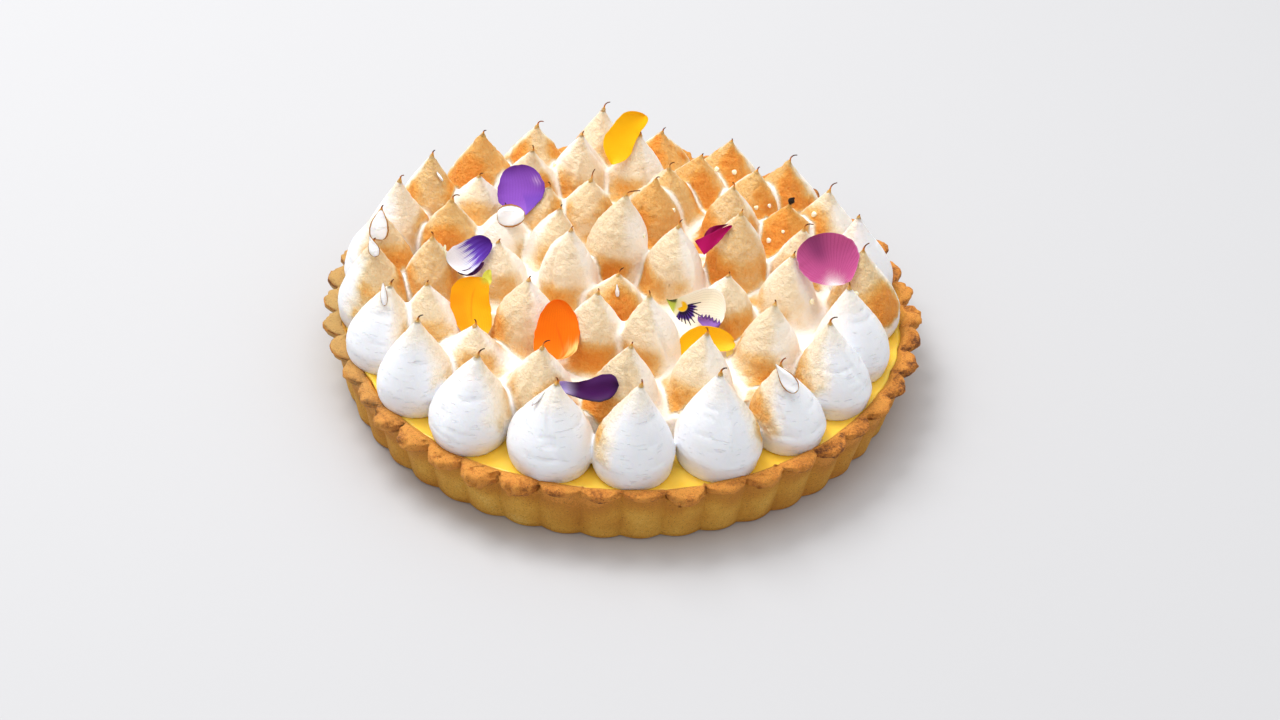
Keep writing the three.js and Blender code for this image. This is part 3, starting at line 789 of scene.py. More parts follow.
def thinned(name, points, quads, triangles_wanted):
    """Collapses a dense mesh to about so many triangles, and gives back points and triangles."""
    dense = make_skin(name, points / MM, quads, np.zeros((0, 3), int))
    reduce = dense.modifiers.new("thin", "DECIMATE")
    reduce.ratio = triangles_wanted / (2 * len(quads))
    thin = dense.evaluated_get(bpy.context.evaluated_depsgraph_get()).to_mesh()
    thin.calc_loop_triangles()
    found = np.zeros(len(thin.vertices) * 3, np.float32)
    thin.vertices.foreach_get("co", found)
    corners = np.zeros(len(thin.loop_triangles) * 3, np.int32)
    thin.loop_triangles.foreach_get("vertices", corners)
    mesh = dense.data
    bpy.data.objects.remove(dense)
    bpy.data.meshes.remove(mesh)
    return found.reshape(-1, 3).astype(float), corners.reshape(-1, 3)


def toast_of(points, kisses):
    """Toast and height share at each point from the nearest kiss. On the side that met the flame,
    and on the one turned to the back of the pie, a golden belt starts just above the bed and fades
    upwards to a pale toast, the higher the more the kiss is toasted; the tip is beige all round.
    Down in the valleys, where the second kiss is almost as near as the first, there is only a
    faint warm tint, painted for the warm light that bounces between the toasted flanks, and at the
    front edge not even that."""
    nearest = np.full(len(points), 1e3)
    second = np.full(len(points), 1e3)
    toast = np.zeros(len(points))
    tip = np.zeros(len(points))
    x, y, z = points.T
    patchy = layered(points, TOAST_PATCHES)
    above = z - (CURD_TOP + CORE_HEIGHT) + 1.6 * patchy
    for kiss in kisses:
        index = np.flatnonzero(np.hypot(x - kiss.x, y - kiss.y) < REACH_OF_A_KISS)
        field, share, angle = kiss.field(x[index], y[index], z[index])
        blurred = 0.16 * patchy[index]
        turned = 0.5 + 0.5 * np.cos(angle - kiss.facing) + blurred
        lit = smooth(0.8 - 0.75 * kiss.toast, 1.2 - 0.6 * kiss.toast, turned)
        from_behind = math.pi / 2 + 1.6 * (draw(57, kiss.number) - 0.5)
        turned = 0.5 + 0.5 * np.cos(angle - from_behind) + blurred
        lit = np.maximum(lit, 0.85 * smooth(0.74, 1.02, turned))
        over = above[index]
        belt = smooth(-2.5, 1.5, over) * (1 - smooth(3 + 6 * kiss.toast, 9 + 16 * kiss.toast, over))
        streaky = 0.86 + 0.3 * np.sin(2 * angle + 5 * kiss.phase) + 0.4 * patchy[index]
        golden = (0.26 + 0.46 * kiss.toast) * belt * streaky
        least = 0.10 if kiss.at_the_edge else 0.14
        pale = (least + 0.18 * kiss.toast + 1.1 * max(0, kiss.toast - 0.8)) * smooth(-2.5, 1.5, over)
        flank = np.minimum(np.maximum(golden, pale), 0.7) * lit
        beige = 0.22 * (0.4 + 0.9 * draw(53, kiss.number)) * min(1, 0.2 + kiss.toast)
        top = np.maximum(beige * smooth(0.62, 0.86, share), 0.7 * smooth(0.9, 0.985, share))
        closer = field < nearest[index]
        second[index] = np.where(closer, nearest[index], np.minimum(second[index], field))
        toast[index] = np.where(closer, np.maximum(flank, top), toast[index])
        tip[index] = np.where(closer, share, tip[index])
        nearest[index] = np.where(closer, field, nearest[index])
    # Painted bounce light: a faint warm tint inside the outer ring and towards the back, the least toast
    # anywhere.
    bounce_warmth = 0.09 * np.maximum(smooth(94, 76, np.hypot(x, y)), smooth(10, 50, y))
    return np.clip(np.maximum(toast * smooth(0.5, 2.8, second - nearest), bounce_warmth), 0, 1), tip


edge = [Kiss(number, row, FAR_EDGE_FORM if abs(row[0]) >= FAR_FROM_BEARING else EDGE_FORM)
        for number, row in enumerate(KISSES_AT_THE_EDGE)]
behind = [Kiss(number, row, BEHIND_FORM)
          for number, row in enumerate(KISSES_BEHIND_THEM, len(edge))]
middle = [Kiss(number, row, MIDDLE_FORM)
          for number, row in enumerate(KISSES_IN_THE_MIDDLE, len(edge) + len(behind))]
kisses = edge + behind + middle
field, axes = meringue_field(edge, behind, middle)
points, quads = skin_of_field(field, axes)
toast, tip = toast_of(points, kisses)
points = points + outward_of(points, quads) * meringue_relief(points, toast)[:, None]
points, triangles = thinned("meringue_dense", points, quads, TARGET_TRIANGLES)
toast, tip = toast_of(points, kisses)
char = smooth(0.955, 1.0, tip) * 0.5
skins, toasts, chars = [(points, np.zeros((0, 4), int), triangles)], [toast], [char]
along = np.concatenate([np.repeat(np.linspace(0, 1, TAIL_RINGS), TAIL_SIDES), [0, 1]])
for number, tail in enumerate(tail_tubes(kisses)):
    skins.append(closed_skin(tail))
    toasts.append(0.45 + 0.5 * smooth(0.3, 0.8, along))
    sooty = smooth(0.5, 0.85, along) * (0.35 + 0.65 * draw(61, number))
    if number == BURNT_BLOB:
        sooty = sooty + smooth(0.45, 0.55, along)
    chars.append(np.clip(sooty, 0, 1))
points, quads, triangles = joined(skins)
meringue = make_piece("meringue_topping", kept_in_box(points), quads, triangles, meringue_material(),
                      ["meringue"])
set_number(meringue, "toast", np.concatenate(toasts))
set_number(meringue, "char", np.concatenate(chars))

# ---------------------------------------------------------------------------------------------
# Petals
# Fresh edible flower petals laid on by hand after toasting: thin, cupped and a little wavy.
# ---------------------------------------------------------------------------------------------

# Each petal: slot, place of its middle, length, the bearing and tilt that its face looks, its
# spin, its cup and bow, where along it the outline starts, half its width at five stations from
# the base to the tip, how far its middle line swings aside at five, and its colours at the base,
# in the blade and at the edge.
PETALS = {
    "petal_amber_back": ("petal_amber", (-1.6, 73.4, 55.8), 24.6, (0, 36), -32, (1.2, 1.2), 0,
                         (3.6, 6.4, 5.9, 5.4, 4.3), (0.6, -1.6, -2.3, -2.4, 0.4),
                         (255, 188, 4), (255, 190, 5), (255, 186, 4)),
    "petal_purple_round": ("petal_purple", (-42.9, 42.1, 49.2), 20.6, (-12, 42), 15, (1.2, 1.0), 0,
                           (3.9, 8.6, 9.7, 8.7, 6.1), (1.2, -0.6, 0.0, 0.0, -0.4),
                           (150, 98, 204), (138, 80, 190), (102, 48, 152)),
    "petal_violet_curled": ("petal_violet", (-60.5, -3.1, 50.5), 18.9, (14, 42), -70, (1.6, 1.6), 0,
                            (4.2, 6.0, 5.7, 5.0, 3.4), (0.3, 2.1, 1.8, 0.8, 1.0),
                            (238, 238, 246), (104, 64, 190), (78, 30, 140)),
    "petal_amber_left": ("petal_amber", (-55.3, -30.3, 43.6), 23.4, (10, 42), 174, (1.3, 1.2), 0,
                         (6.2, 7.3, 7.6, 7.1, 5.3), (0.6, 2.5, 2.0, 0.6, 0.0),
                         (255, 180, 10), (255, 176, 6), (255, 172, 4)),
    "petal_orange": ("petal_orange", (-23.4, -45.9, 46.8), 22.5, (0, 38), 2, (1.4, 1.4), 0,
                     (6.9, 8.5, 8.2, 7.0, 4.3), (-0.8, -0.6, -0.1, 0.0, 0.0),
                     (255, 126, 0), (255, 120, 0), (255, 116, 0)),
    "petal_aubergine": ("petal_aubergine", (-10.3, -77.7, 46.2), 22.2, (-12, 38), -83.7, (1.8, 1.4), 0,
                        (2.0, 2.8, 3.9, 4.9, 4.1), (0.3, 1.8, 1.7, 0.6, -0.6),
                        (206, 196, 232), (70, 14, 86), (40, 6, 50)),
    "petal_magenta": ("petal_magenta", (34.0, 9.2, 53.2), 17.6, (0, 36), -54, (0.5, 0.8), 0.12,
                      (3.2, 2.9, 2.4, 1.7, 0.8), (0.3, 0.3, 0.3, 0.0, 0.0),
                      (178, 0, 94), (174, 0, 90), (158, 0, 82)),
    "petal_mauve": ("petal_mauve", (78.2, -6.1, 56.3), 22.2, (12, 36), 22.8, (2.2, 1.6), 0,
                    (5.6, 10.4, 11.9, 11.0, 7.4), (1.8, 0.6, 0.0, -1.2, -3.0),
                    (250, 240, 246), (200, 88, 148), (192, 96, 150)),
    "petal_cream": ("petal_cream", (27.9, -27.0, 46.6), 23.0, (0, 36), -101, (1.2, 1.0), 0,
                    (1.6, 5.0, 7.2, 7.9, 6.1), (0.0, 1.8, 0.7, -0.4, 0.5),
                    (206, 214, 90), (250, 238, 212), (252, 246, 232)),
    "petal_lilac_scrap": ("petal_violet", (33.1, -32.0, 43.4), 9.0, (0, 36), -100, (0.4, 0.4), 0,
                          (1.2, 1.9, 2.5, 2.2, 1.2), (-0.4, 0.3, 0.8, 1.2, -0.2),
                          (150, 108, 200), (156, 112, 204), (116, 70, 168)),
    "petal_yellow": ("petal_yellow", (30.7, -38.8, 36.8), 24.4, (14, 38), 99, (1.6, 2.4), 0,
                     (3.8, 5.0, 5.3, 5.0, 3.8), (-1.6, 1.0, 2.2, 1.0, -1.6),
                     (255, 204, 40), (255, 194, 10), (255, 188, 8)),
}

# Narrow parts that belong to a petal: where the part's middle lies in the petal's own axes, its
# turn in them, its length, half widths and swings, and its colour. They are the pale claws that
# three petals grew from, the violet petal's dark underside and the magenta petal's folded side.
PETAL_PARTS = {
    "petal_amber_left": [((-3.8, -11.2, 0.4), -16, 7.0, (1.0, 1.6, 1.9, 1.6, 1.0),
                          (0.0, 0.3, 0.0, -0.4, 0.0), (226, 222, 92))],
    "petal_violet_curled": [((-2.6, -9.2, 0.6), 66, 7.6, (0.7, 0.8, 0.8, 0.7, 0.5),
                             (0.5, 0.1, 0.0, 0.2, 0.6), (240, 236, 204)),
                            ((7.3, -2.0, -0.2), -4, 11.0, (0.8, 1.3, 1.5, 1.3, 0.8),
                             (-1.2, 0.2, 0.6, 0.2, -1.0), (84, 40, 92))],
    "petal_yellow": [((-6.0, -9.8, 0.2), -90, 8.6, (0.9, 1.4, 1.6, 1.4, 0.9),
                      (0.2, 0.1, 0.0, 0.3, 0.9), (250, 232, 140))],
    "petal_magenta": [((-2.3, 2.6, -0.9), -6, 10.6, (1.0, 1.5, 1.3, 0.8, 0.3),
                       (0.6, 0.1, -0.2, 0.0, 0.4), (140, 0, 72))],
}
WIDTH_STATIONS = np.array([0.1, 0.3, 0.5, 0.7, 0.9])
SWING_STATIONS = np.array([0.0, 0.25, 0.5, 0.75, 1.0])
PETAL_ROWS = 72
PETAL_COLUMNS = 56
FINE_GRID = (190, 150)
FINELY_PAINTED = ("petal_cream", "petal_mauve", "petal_violet_curled")
PART_ROWS = 26
PART_COLUMNS = 12
PART_BENDS = (0.5, 0.4)
PETAL_THICKNESS = 0.4
PETAL_ENDS = 0.004
FRINGE_TEETH = 6.5
# Where the cream petal's throat and the mauve petal's root lie on the petal, aside and ahead in mm.
THROAT = (1.3, -5.0)
ROOT_OF_THE_RAYS = (-3.0, -11.5)
WHISKER_STEP = math.radians(13)


def petal_material(name):
    """Soft satin skin coloured by the petal's own painted points, which light shines through."""
    material, shader = new_material(name)
    tint = add_node(material, "ShaderNodeAttribute", attribute_name="tint").outputs["Color"]
    cells = speckle(material, 3000, 2.0, 0.6)
    shade = ramp(material, cells, [(0.3, (0.92, 0.92, 0.92, 1)), (0.7, WHITE)])
    tint = blend_colour(material, 1.0, tint, shade, "MULTIPLY")
    material.node_tree.links.new(tint, shader.inputs["Base Color"])
    shader.inputs["Roughness"].default_value = 0.5
    shader.inputs["Specular IOR Level"].default_value = 0.14
    shader.inputs["Sheen Weight"].default_value = 0.02
    let_light_in(shader, 0.2, (1.0, 0.7, 0.7), 0.0006)
    roughen(material, shader, cells, 0.2, 0.0002)
    return material


def petal_axes(look, spin):
    """The petal's own axes: its face looks at a bearing and a tilt, then it is spun about that."""
    bearing, tilt = (math.radians(value) for value in look)
    face = on_circle(np.array(bearing), math.cos(tilt), math.sin(tilt))
    side = np.cross([0, 0, 1.0], face)
    side /= np.linalg.norm(side)
    head = np.cross(face, side)
    turn = math.radians(spin)
    return np.stack([side * math.cos(turn) + head * math.sin(turn),
                     head * math.cos(turn) - side * math.sin(turn), face])


def petal_surface(length, bends, start, widths, swings, number, grid):
    """One face on a grid of along (start to 1) and across (-1 to 1), and its thickness. Half the
    width is an ellipse's times the quartic through the stations; the middle line is the quartic
    through its swings. The height is a cup across, a bow along, and small waves that grow to the
    edge. It thins to the edge and the ends by high powers."""
    row, across = np.meshgrid(np.linspace(0, 1, grid[0]), np.linspace(-1, 1, grid[1]), indexing="ij")
    first = max(start, PETAL_ENDS)
    along = first + (1 - PETAL_ENDS - first) * (0.5 - 0.5 * np.cos(np.pi * row))
    ellipse = np.sqrt(1 - (2 * WIDTH_STATIONS - 1) ** 2)
    factor = np.polyval(np.polyfit(WIDTH_STATIONS, np.array(widths) / ellipse, 4), along)
    half = np.sqrt(1 - (2 * along - 1) ** 2) * np.maximum(factor, 0.15 * max(widths))
    half = half * (1 + 0.012 * np.sin(23 * along + number) + 0.010 * np.sin(41 * along + 2 * number))
    swing = np.polyval(np.polyfit(SWING_STATIONS, swings, 4), along)
    cup, bow = bends
    wave = 0.30 * np.sin(6 * along + 2.4 * across + number)
    wave = wave + 0.16 * across ** 2 * np.sin(17 * along + 3 * number)
    z = cup * (across ** 2 - 0.5) + bow * (2 * along - 1) ** 2 + wave
    surface = np.stack([swing + half * across, length * (along - 0.5), z], -1)
    thin = PETAL_THICKNESS * (0.3 + 0.7 * (1 - np.abs(across) ** 6))
    return surface, thin * (1 - 0.7 * np.abs(2 * row - 1) ** 10), along, across


def fringed(surface, along, across):
    """Tears one long side of a petal into teeth: a saw of the length, felt only near that side."""
    tooth = np.abs((FRINGE_TEETH * along) % 1 * 2 - 1)
    tooth = tooth * (0.6 + 0.8 * draw(71, np.floor(FRINGE_TEETH * along)))
    torn = surface.copy()
    torn[..., 0] -= 1.5 * (tooth - 0.3) * smooth(-0.2, -1.0, across)
    return torn


def two_sided(surface, thin, axes, place):
    """Closes a face into a thin leaf: the same grid above and below, joined round the edge."""
    lift = np.array([0, 0, 0.5]) * thin[..., None]
    faces = [(surface + side * lift) @ axes + np.array(place) for side in (1, -1)]
    return closed_skin(np.concatenate([faces[0], faces[1][:, ::-1]], 1))


def both_faces(values):
    """Values on one face's grid, repeated for the other face and for the two poles."""
    rows = np.concatenate([values, values[:, ::-1]], 1).reshape((-1,) + values.shape[2:])
    return np.concatenate([rows, rows[:1], rows[-1:]])


def painted(seen, shape):
    """Paint of one colour, given as seen, over a grid."""
    return np.ones(shape + (3,)) * np.array(tone(*seen)[:3])


def mixed(first, second, share):
    """Blends paint with a colour given as seen: the second where the share is 1."""
    share = np.clip(share, 0, 1)[..., None]
    return first * (1 - share) + np.array(tone(*second)[:3]) * share


def pansy_throat(colour, surface):
    """Paints a pansy's face round the throat in mm: a yellow eye, then a purple blotch that ends
    in rays, and black whiskers of uneven length, one every few degrees."""
    aside = surface[..., 0] - THROAT[0]
    ahead = surface[..., 1] - THROAT[1]
    away = np.hypot(aside, ahead)
    turn = np.arctan2(aside, ahead)
    ray = np.floor(turn / WHISKER_STEP + 0.5)
    off = np.abs(turn - ray * WHISKER_STEP) * away
    fan = smooth(-0.62, -0.45, turn) * smooth(2.0, 1.75, turn)
    reach = 5.4 + 3.2 * draw(67, ray)
    edge_of_blotch = 5.3 + 1.4 * draw(69, ray) + 0.5 * np.sin(2 * turn)
    blotch = smooth(2.1, 2.5, away) * smooth(edge_of_blotch, edge_of_blotch - 1.1, away + 1.6 * off)
    colour = mixed(colour, (74, 32, 134), blotch * fan)
    whisker = smooth(0.22, 0.10, off - 0.03 * (reach - away)) * smooth(1.7, 2.2, away)
    colour = mixed(colour, (34, 14, 48), whisker * smooth(reach, reach - 0.4, away) * fan)
    eye = smooth(2.2, 1.7, away) * smooth(-2.4, -1.6, turn) * smooth(2.8, 2.2, turn)
    return mixed(colour, (252, 196, 20), eye)


def fine_rays(colour, surface):
    """Paints rays that fan from the petal's root in mm, two sines of the turn swayed by slower
    ones: dark between, darkest up the middle, and white where the root's pallor runs out."""
    aside = surface[..., 0] - ROOT_OF_THE_RAYS[0]
    ahead = surface[..., 1] - ROOT_OF_THE_RAYS[1]
    away = np.hypot(aside, ahead)
    turn = np.arctan2(aside, ahead)
    ray = 0.7 * np.sin(83 * turn + 2.5 * np.sin(5 * turn))
    ray = ray + 0.6 * np.sin(171 * turn + 1.3 * np.sin(7 * turn))
    colour = mixed(colour, (176, 74, 128), smooth(0.1, 1.0, ray) * smooth(4, 9, away) * 0.6)
    up_the_middle = np.exp(-((turn - 0.06) / 0.24) ** 2) * smooth(8, 17, away)
    colour = mixed(colour, (136, 54, 108), 0.75 * up_the_middle)
    return mixed(colour, (246, 238, 236), smooth(7.2, 1.8, away - 2.4 * ray + np.abs(turn)))


def petal_tint(name, surface, along, across, number, base, blade, edge_colour):
    """Paint: from the base into the blade and out to the edge, with fine veins fanning out, and
    then each petal's own marks."""
    fan = across * (0.35 + 0.65 * along)
    veins = np.sin(60 * fan / (0.3 + along) + 1.5 * np.sin(7 * along + number)) * smooth(0.03, 0.3, along)
    colour = mixed(painted(blade, along.shape), base, smooth(0.34, 0.02, along + 0.03 * veins))
    rim = np.maximum(np.abs(across) ** 4, smooth(0.82, 1.0, along))
    colour = mixed(colour, edge_colour, 0.7 * rim)
    colour = colour * (1 + 0.05 * veins[..., None])
    feather = 0.05 * np.sin(17 * across + 2) + 0.06 * (draw(73, np.floor(24 * across)) - 0.5)
    feather = feather + 0.03 * np.sin(61 * across + 9 * along) + 0.025 * np.sin(131 * across - 7 * along)
    if name == "petal_amber_left":
        colour = mixed(colour, (250, 150, 8), 0.7 * smooth(-0.15, 0.5, across) * smooth(0.1, 0.4, along))
        # Painted shade: a deeper orange line along a crease.
        crease = np.exp(-((across + 0.1 - 0.6 * (along - 0.4)) / 0.05) ** 2) * smooth(0.12, 0.3, along)
        colour = mixed(colour, (238, 136, 8), 0.6 * crease * smooth(0.8, 0.6, along))
        colour = mixed(colour, (220, 212, 66), smooth(0.16, 0.04, along) * smooth(-0.35, -0.8, across))
    if name == "petal_orange":
        torn = np.exp(-((across - 0.86 + feather) / 0.34) ** 2 - ((along - 0.16 + feather) / 0.10) ** 2)
        colour = mixed(colour, (250, 212, 130), torn)
        # Painted shade: a darker line along a crease.
        crease = np.exp(-((across - 0.55 + 1.1 * along) / 0.04) ** 2) * smooth(0.7, 0.4, along)
        colour = mixed(colour, (230, 88, 4), 0.5 * crease)
    if name == "petal_purple_round":
        pale = np.exp(-((across - 0.72) / 0.16) ** 2 - ((along - 0.66) / 0.08) ** 2)
        colour = mixed(colour, (206, 168, 224), 0.7 * pale * (0.8 + 0.6 * veins))
        # Painted shade: the blade is darker on one side of a diagonal fold.
        fold = smooth(-0.02, 0.02, across - 0.25 + 1.3 * (along - 0.25)) * smooth(0.5, 0.3, along)
        colour = mixed(colour, (104, 62, 178), 0.55 * fold)
        colour = mixed(colour, (112, 54, 160), 0.6 * smooth(0.7, 1.0, along))
    if name == "petal_violet_curled":
        white = smooth(0.62, 0.40, along + 1.5 * feather + 0.08 * across ** 2)
        colour = mixed(colour, (240, 240, 246), white)
        streak = smooth(0.25, 0.9, np.sin(70 * across + 4 * np.sin(8 * along))) * smooth(0.16, 0.5, along)
        colour = mixed(colour, (96, 82, 200), 0.7 * streak * white)
        colour = mixed(colour, (72, 22, 132), smooth(0.56, 0.9, along + feather) * 0.85)
    if name == "petal_aubergine":
        colour = mixed(colour, (176, 158, 220), smooth(0.20, 0.05, along + 0.6 * feather))
        # Painted sheen: a lighter band along one side of the blade.
        colour = mixed(colour, (112, 60, 146), 0.4 * smooth(-0.2, -0.8, across) * smooth(0.3, 0.6, along))
        colour = mixed(colour, (30, 5, 40), smooth(0.84, 0.93, across) * smooth(0.05, 0.2, along))
    if name == "petal_mauve":
        colour = fine_rays(painted(blade, along.shape), surface)
        colour = mixed(colour, (222, 160, 196), 0.6 * smooth(0.95, 1.0, np.abs(across)))
    if name == "petal_cream":
        stem = smooth(0.19, 0.15, along)
        colour = mixed(colour, (196, 208, 84), stem)
        colour = mixed(colour, (84, 92, 60), stem * smooth(-0.2, -0.7, across))
        colour = pansy_throat(colour, surface)
        white_edge = smooth(0.93, 1.0, np.abs(across)) * smooth(0.3, 0.5, along)
        colour = mixed(colour, (255, 253, 248), 0.8 * white_edge)
    if name == "petal_lilac_scrap":
        colour = mixed(colour, (66, 28, 106), 0.8 * smooth(-0.45, -0.85, across + 2.2 * feather))
    return np.clip(colour, 0, 1)


petal_materials = {}
for number, (name, row) in enumerate(PETALS.items()):
    slot, place, length, look, spin, bends, start, widths, swings, base, blade, edge_colour = row
    axes = petal_axes(look, spin)
    blade_grid = FINE_GRID if name in FINELY_PAINTED else (PETAL_ROWS, PETAL_COLUMNS)
    surface, thin, along, across = petal_surface(length, bends, start, widths, swings, number, blade_grid)
    paint = petal_tint(name, surface, along, across, number, base, blade, edge_colour)
    if name == "petal_lilac_scrap":
        surface = fringed(surface, along, across)
    skins = [two_sided(surface, thin, axes, place)]
    tints = [both_faces(paint)]
    for part_place, turn, length, widths, swings, part_colour in PETAL_PARTS.get(name, []):
        surface, thin, along, across = petal_surface(length, PART_BENDS, 0, widths, swings, number,
                                                     (PART_ROWS, PART_COLUMNS))
        swung = np.array(Matrix.Rotation(math.radians(turn), 3, "Z"))
        skins.append(two_sided(surface @ swung.T + np.array(part_place), thin, axes, place))
        tints.append(both_faces(painted(part_colour, along.shape)))
    points, quads, fans = joined(skins)
    if slot not in petal_materials:
        petal_materials[slot] = petal_material(slot + "_skin")
    piece = make_piece(name + "_blade", points, quads, fans, petal_materials[slot], [name])
    layer = piece.data.attributes.new("tint", "FLOAT_COLOR", "POINT")
    paint = np.concatenate(tints)
    paint = np.concatenate([paint, np.ones((len(paint), 1))], 1).astype(np.float32)
    layer.data.foreach_set("color", paint.ravel())

# ---------------------------------------------------------------------------------------------
# Folded tails and syrup beads
# Some kisses' tails fell back on their side as a thin white tongue with a scorched edge, and
# beads of syrup have sweated out of the most toasted flanks and set there, clear and glossy.
# ---------------------------------------------------------------------------------------------

# Each folded tail: number of its kiss, the bearing and height share on the kiss where it lies,
# how far it stands off, its spin, its length and half its widths from the free end to the root.
FOLDED_TAILS = [
    (17, 8, 0.82, 2.4, -4, 12.0, (3.1, 3.8, 3.5, 2.6, 1.1)),
    (18, 8, 0.91, 2.0, 22, 8.4, (1.5, 2.2, 1.9, 1.1, 0.4)),
    (47, 74, 0.84, 2.6, -84, 11.2, (3.2, 4.4, 4.6, 4.1, 2.6)),
    (3, 30, 0.84, 2.2, 39, 13.2, (2.1, 2.9, 2.6, 1.6, 0.5)),
    (0, -88, 0.77, 0.9, -41, 8.5, (0.5, 0.8, 0.8, 0.6, 0.3)),
    (51, 6, 0.79, 0.9, 5, 5.0, (0.7, 0.9, 0.8, 0.5, 0.3)),
    (15, 52, 0.72, 0.9, 36, 5.4, (0.5, 0.7, 0.7, 0.5, 0.3)),
    (19, -38, 0.86, 1.0, 6, 9.0, (0.9, 1.3, 1.2, 0.9, 0.4)),
]

# Each bead: number of its kiss, bearing and height share on it, and its radius in mm.
BEADS = [
    (31, -84, 0.54, 1.2), (53, 80, 0.57, 0.9), (44, 74, 0.60, 1.0), (10, -34, 0.58, 1.1),
    (10, 18, 0.57, 1.1), (28, 12, 0.55, 1.0), (28, 48, 0.53, 0.9), (27, -40, 0.51, 1.1),
    (8, -46, 0.66, 1.2), (6, -20, 0.58, 1.2), (25, 60, 0.48, 1.3), (27, -10, 0.66, 0.7),
    (7, -30, 0.50, 0.8),
]
TONGUE_TILT = 38
TONGUE_BENDS = (-0.7, -0.5)
STRAIGHT = (0, 0, 0, 0, 0)
SYRUP = [(0.3, (252, 236, 200)), (0.7, (255, 246, 224))]
BEAD_RINGS = 9
BEAD_SIDES = 20


def on_kiss(kiss, bearing, share):
    """A point on a kiss's side, and the outward direction there."""
    turn = math.radians(bearing)
    x, y = kiss.middle(share)
    radius = 0.5 * kiss.width * float(kiss_profile(np.array(share), kiss.form))
    lower, upper = (float(kiss_profile(np.array(share + step), kiss.form)) for step in (-0.02, 0.02))
    rise = 0.5 * kiss.width * (lower - upper) / (0.04 * kiss.height)
    place = np.array([x, y, 0]) + on_circle(turn, radius, CURD_TOP + share * kiss.height)
    return place, on_circle(turn, 1, rise) / math.hypot(1, rise)


def bead_material():
    """Set syrup: pale amber, glossy, with light inside."""
    material, shader = new_material("set_syrup")
    cloudy = ramp(material, speckle(material, 700, 2.0), toned(SYRUP))
    material.node_tree.links.new(cloudy, shader.inputs["Base Color"])
    shader.inputs["Roughness"].default_value = 0.08
    shader.inputs["Coat Weight"].default_value = 0.6
    let_light_in(shader, 0.5, (1.0, 0.7, 0.3), 0.001)
    return material


def bead_rings(kiss, bearing, share, size, number):
    """A bead: rings of a sphere's arc, flattened against the kiss and sagging a little downhill."""
    place, outward = on_kiss(kiss, bearing, share)
    side = np.cross([0, 0, 1.0], outward)
    side /= np.linalg.norm(side)
    uphill = np.cross(outward, side)
    arc, turn = np.meshgrid(np.linspace(0.04, 0.96, BEAD_RINGS) * math.pi,
                            np.linspace(0, TAU, BEAD_SIDES, endpoint=False), indexing="ij")
    sag = 1 - 0.22 * np.sin(turn) + 0.06 * np.sin(3 * turn + number)
    across = size * np.sin(arc) * np.cos(turn)
    down = size * np.sin(arc) * np.sin(turn) * sag
    height = 0.15 - 0.62 * size * np.cos(arc)
    return (place + across[..., None] * side + down[..., None] * uphill
            + height[..., None] * outward)


skins, toasts, chars = [], [], []
for number, (kiss_number, bearing, share, off, spin, length, widths) in enumerate(FOLDED_TAILS):
    surface, thin, along, across = petal_surface(length, TONGUE_BENDS, 0, widths, STRAIGHT, number,
                                                 (PART_ROWS, 2 * PART_COLUMNS))
    axes = petal_axes((0, TONGUE_TILT), spin)
    place = on_kiss(kisses[kiss_number], bearing, share)[0] + off * axes[2]
    skins.append(two_sided(surface, 1.6 * thin, axes, place))
    rim = np.maximum(smooth(0.84, 0.95, np.abs(across)), smooth(0.93, 0.99, np.abs(2 * along - 1)))
    toasts.append(both_faces(0.02 + 0.8 * rim))
    chars.append(both_faces(0.55 * rim))
points, quads, fans = joined(skins)
tongues = make_piece("folded_tails", points, quads, fans, meringue.data.materials[0], None)
set_number(tongues, "toast", np.concatenate(toasts))
set_number(tongues, "char", np.concatenate(chars))

skins = [closed_skin(bead_rings(kisses[kiss_number], bearing, share, size, number))
         for number, (kiss_number, bearing, share, size) in enumerate(BEADS)]
points, quads, fans = joined(skins)
make_piece("syrup_beads", points, quads, fans, bead_material(), None)

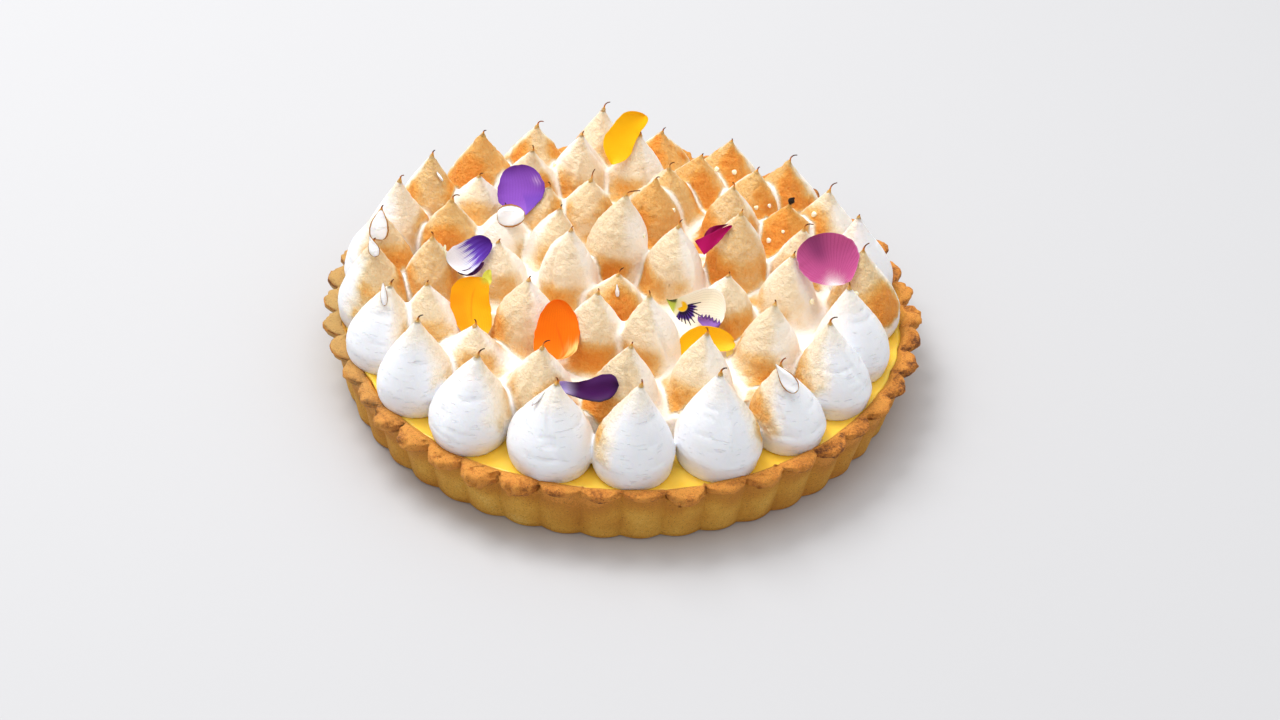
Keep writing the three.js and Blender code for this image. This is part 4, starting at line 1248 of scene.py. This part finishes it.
# ---------------------------------------------------------------------------------------------
# Studio
# A pale table, a large soft light from above and behind, and the camera over the front edge.
# ---------------------------------------------------------------------------------------------
TABLE_HALF = 3.0
CAMERA_PLACE = (0.0077, -0.7714, 0.5955)
CAMERA_LOOKS_DOWN = math.radians(37.727)
CAMERA_ROLL = math.radians(2.6435)
CAMERA_LENS = 68.62
CAMERA_SENSOR = 36

table_mesh = bpy.data.meshes.new("table")
table_mesh.from_pydata([(-TABLE_HALF, -TABLE_HALF, 0), (TABLE_HALF, -TABLE_HALF, 0),
                        (TABLE_HALF, TABLE_HALF, 0), (-TABLE_HALF, TABLE_HALF, 0)], [], [(0, 1, 2, 3)])
table = bpy.data.objects.new("table", table_mesh)
bpy.context.scene.collection.objects.link(table)
table_material, table_shader = new_material("pale_table")
table_shader.inputs["Base Color"].default_value = tone(188, 188, 190)
table_shader.inputs["Roughness"].default_value = 0.8
table_mesh.materials.append(table_material)


def soft_light(name, place, size, power, colour=(1, 1, 1)):
    """A square area light in metres and watts, aimed at the pie."""
    lamp = bpy.data.lights.new(name, "AREA")
    lamp.size = size
    lamp.energy = power
    lamp.color = colour
    light = bpy.data.objects.new(name, lamp)
    aim = -Matrix.Translation(place).translation
    light.rotation_euler = aim.to_track_quat("-Z", "Y").to_euler()
    light.location = place
    bpy.context.scene.collection.objects.link(light)


soft_light("window", (-0.75, 0.62, 1.6), 0.9, 25)
soft_light("ceiling", (0.0, 0.1, 1.9), 1.6, 16)
world = bpy.data.worlds.new("studio_air")
world.use_nodes = True
world.node_tree.nodes["Background"].inputs["Color"].default_value = (1, 1, 1, 1)
world.node_tree.nodes["Background"].inputs["Strength"].default_value = 0.71
bpy.context.scene.world = world
bpy.context.scene.view_settings.view_transform = "Standard"

camera_data = bpy.data.cameras.new("camera")
camera_data.lens = CAMERA_LENS
camera_data.sensor_width = CAMERA_SENSOR
camera = bpy.data.objects.new("camera", camera_data)
bpy.context.scene.collection.objects.link(camera)
camera.matrix_world = (Matrix.Translation(CAMERA_PLACE)
                       @ Matrix.Rotation(math.pi / 2 - CAMERA_LOOKS_DOWN, 4, "X")
                       @ Matrix.Rotation(CAMERA_ROLL, 4, "Z"))
bpy.context.scene.camera = camera
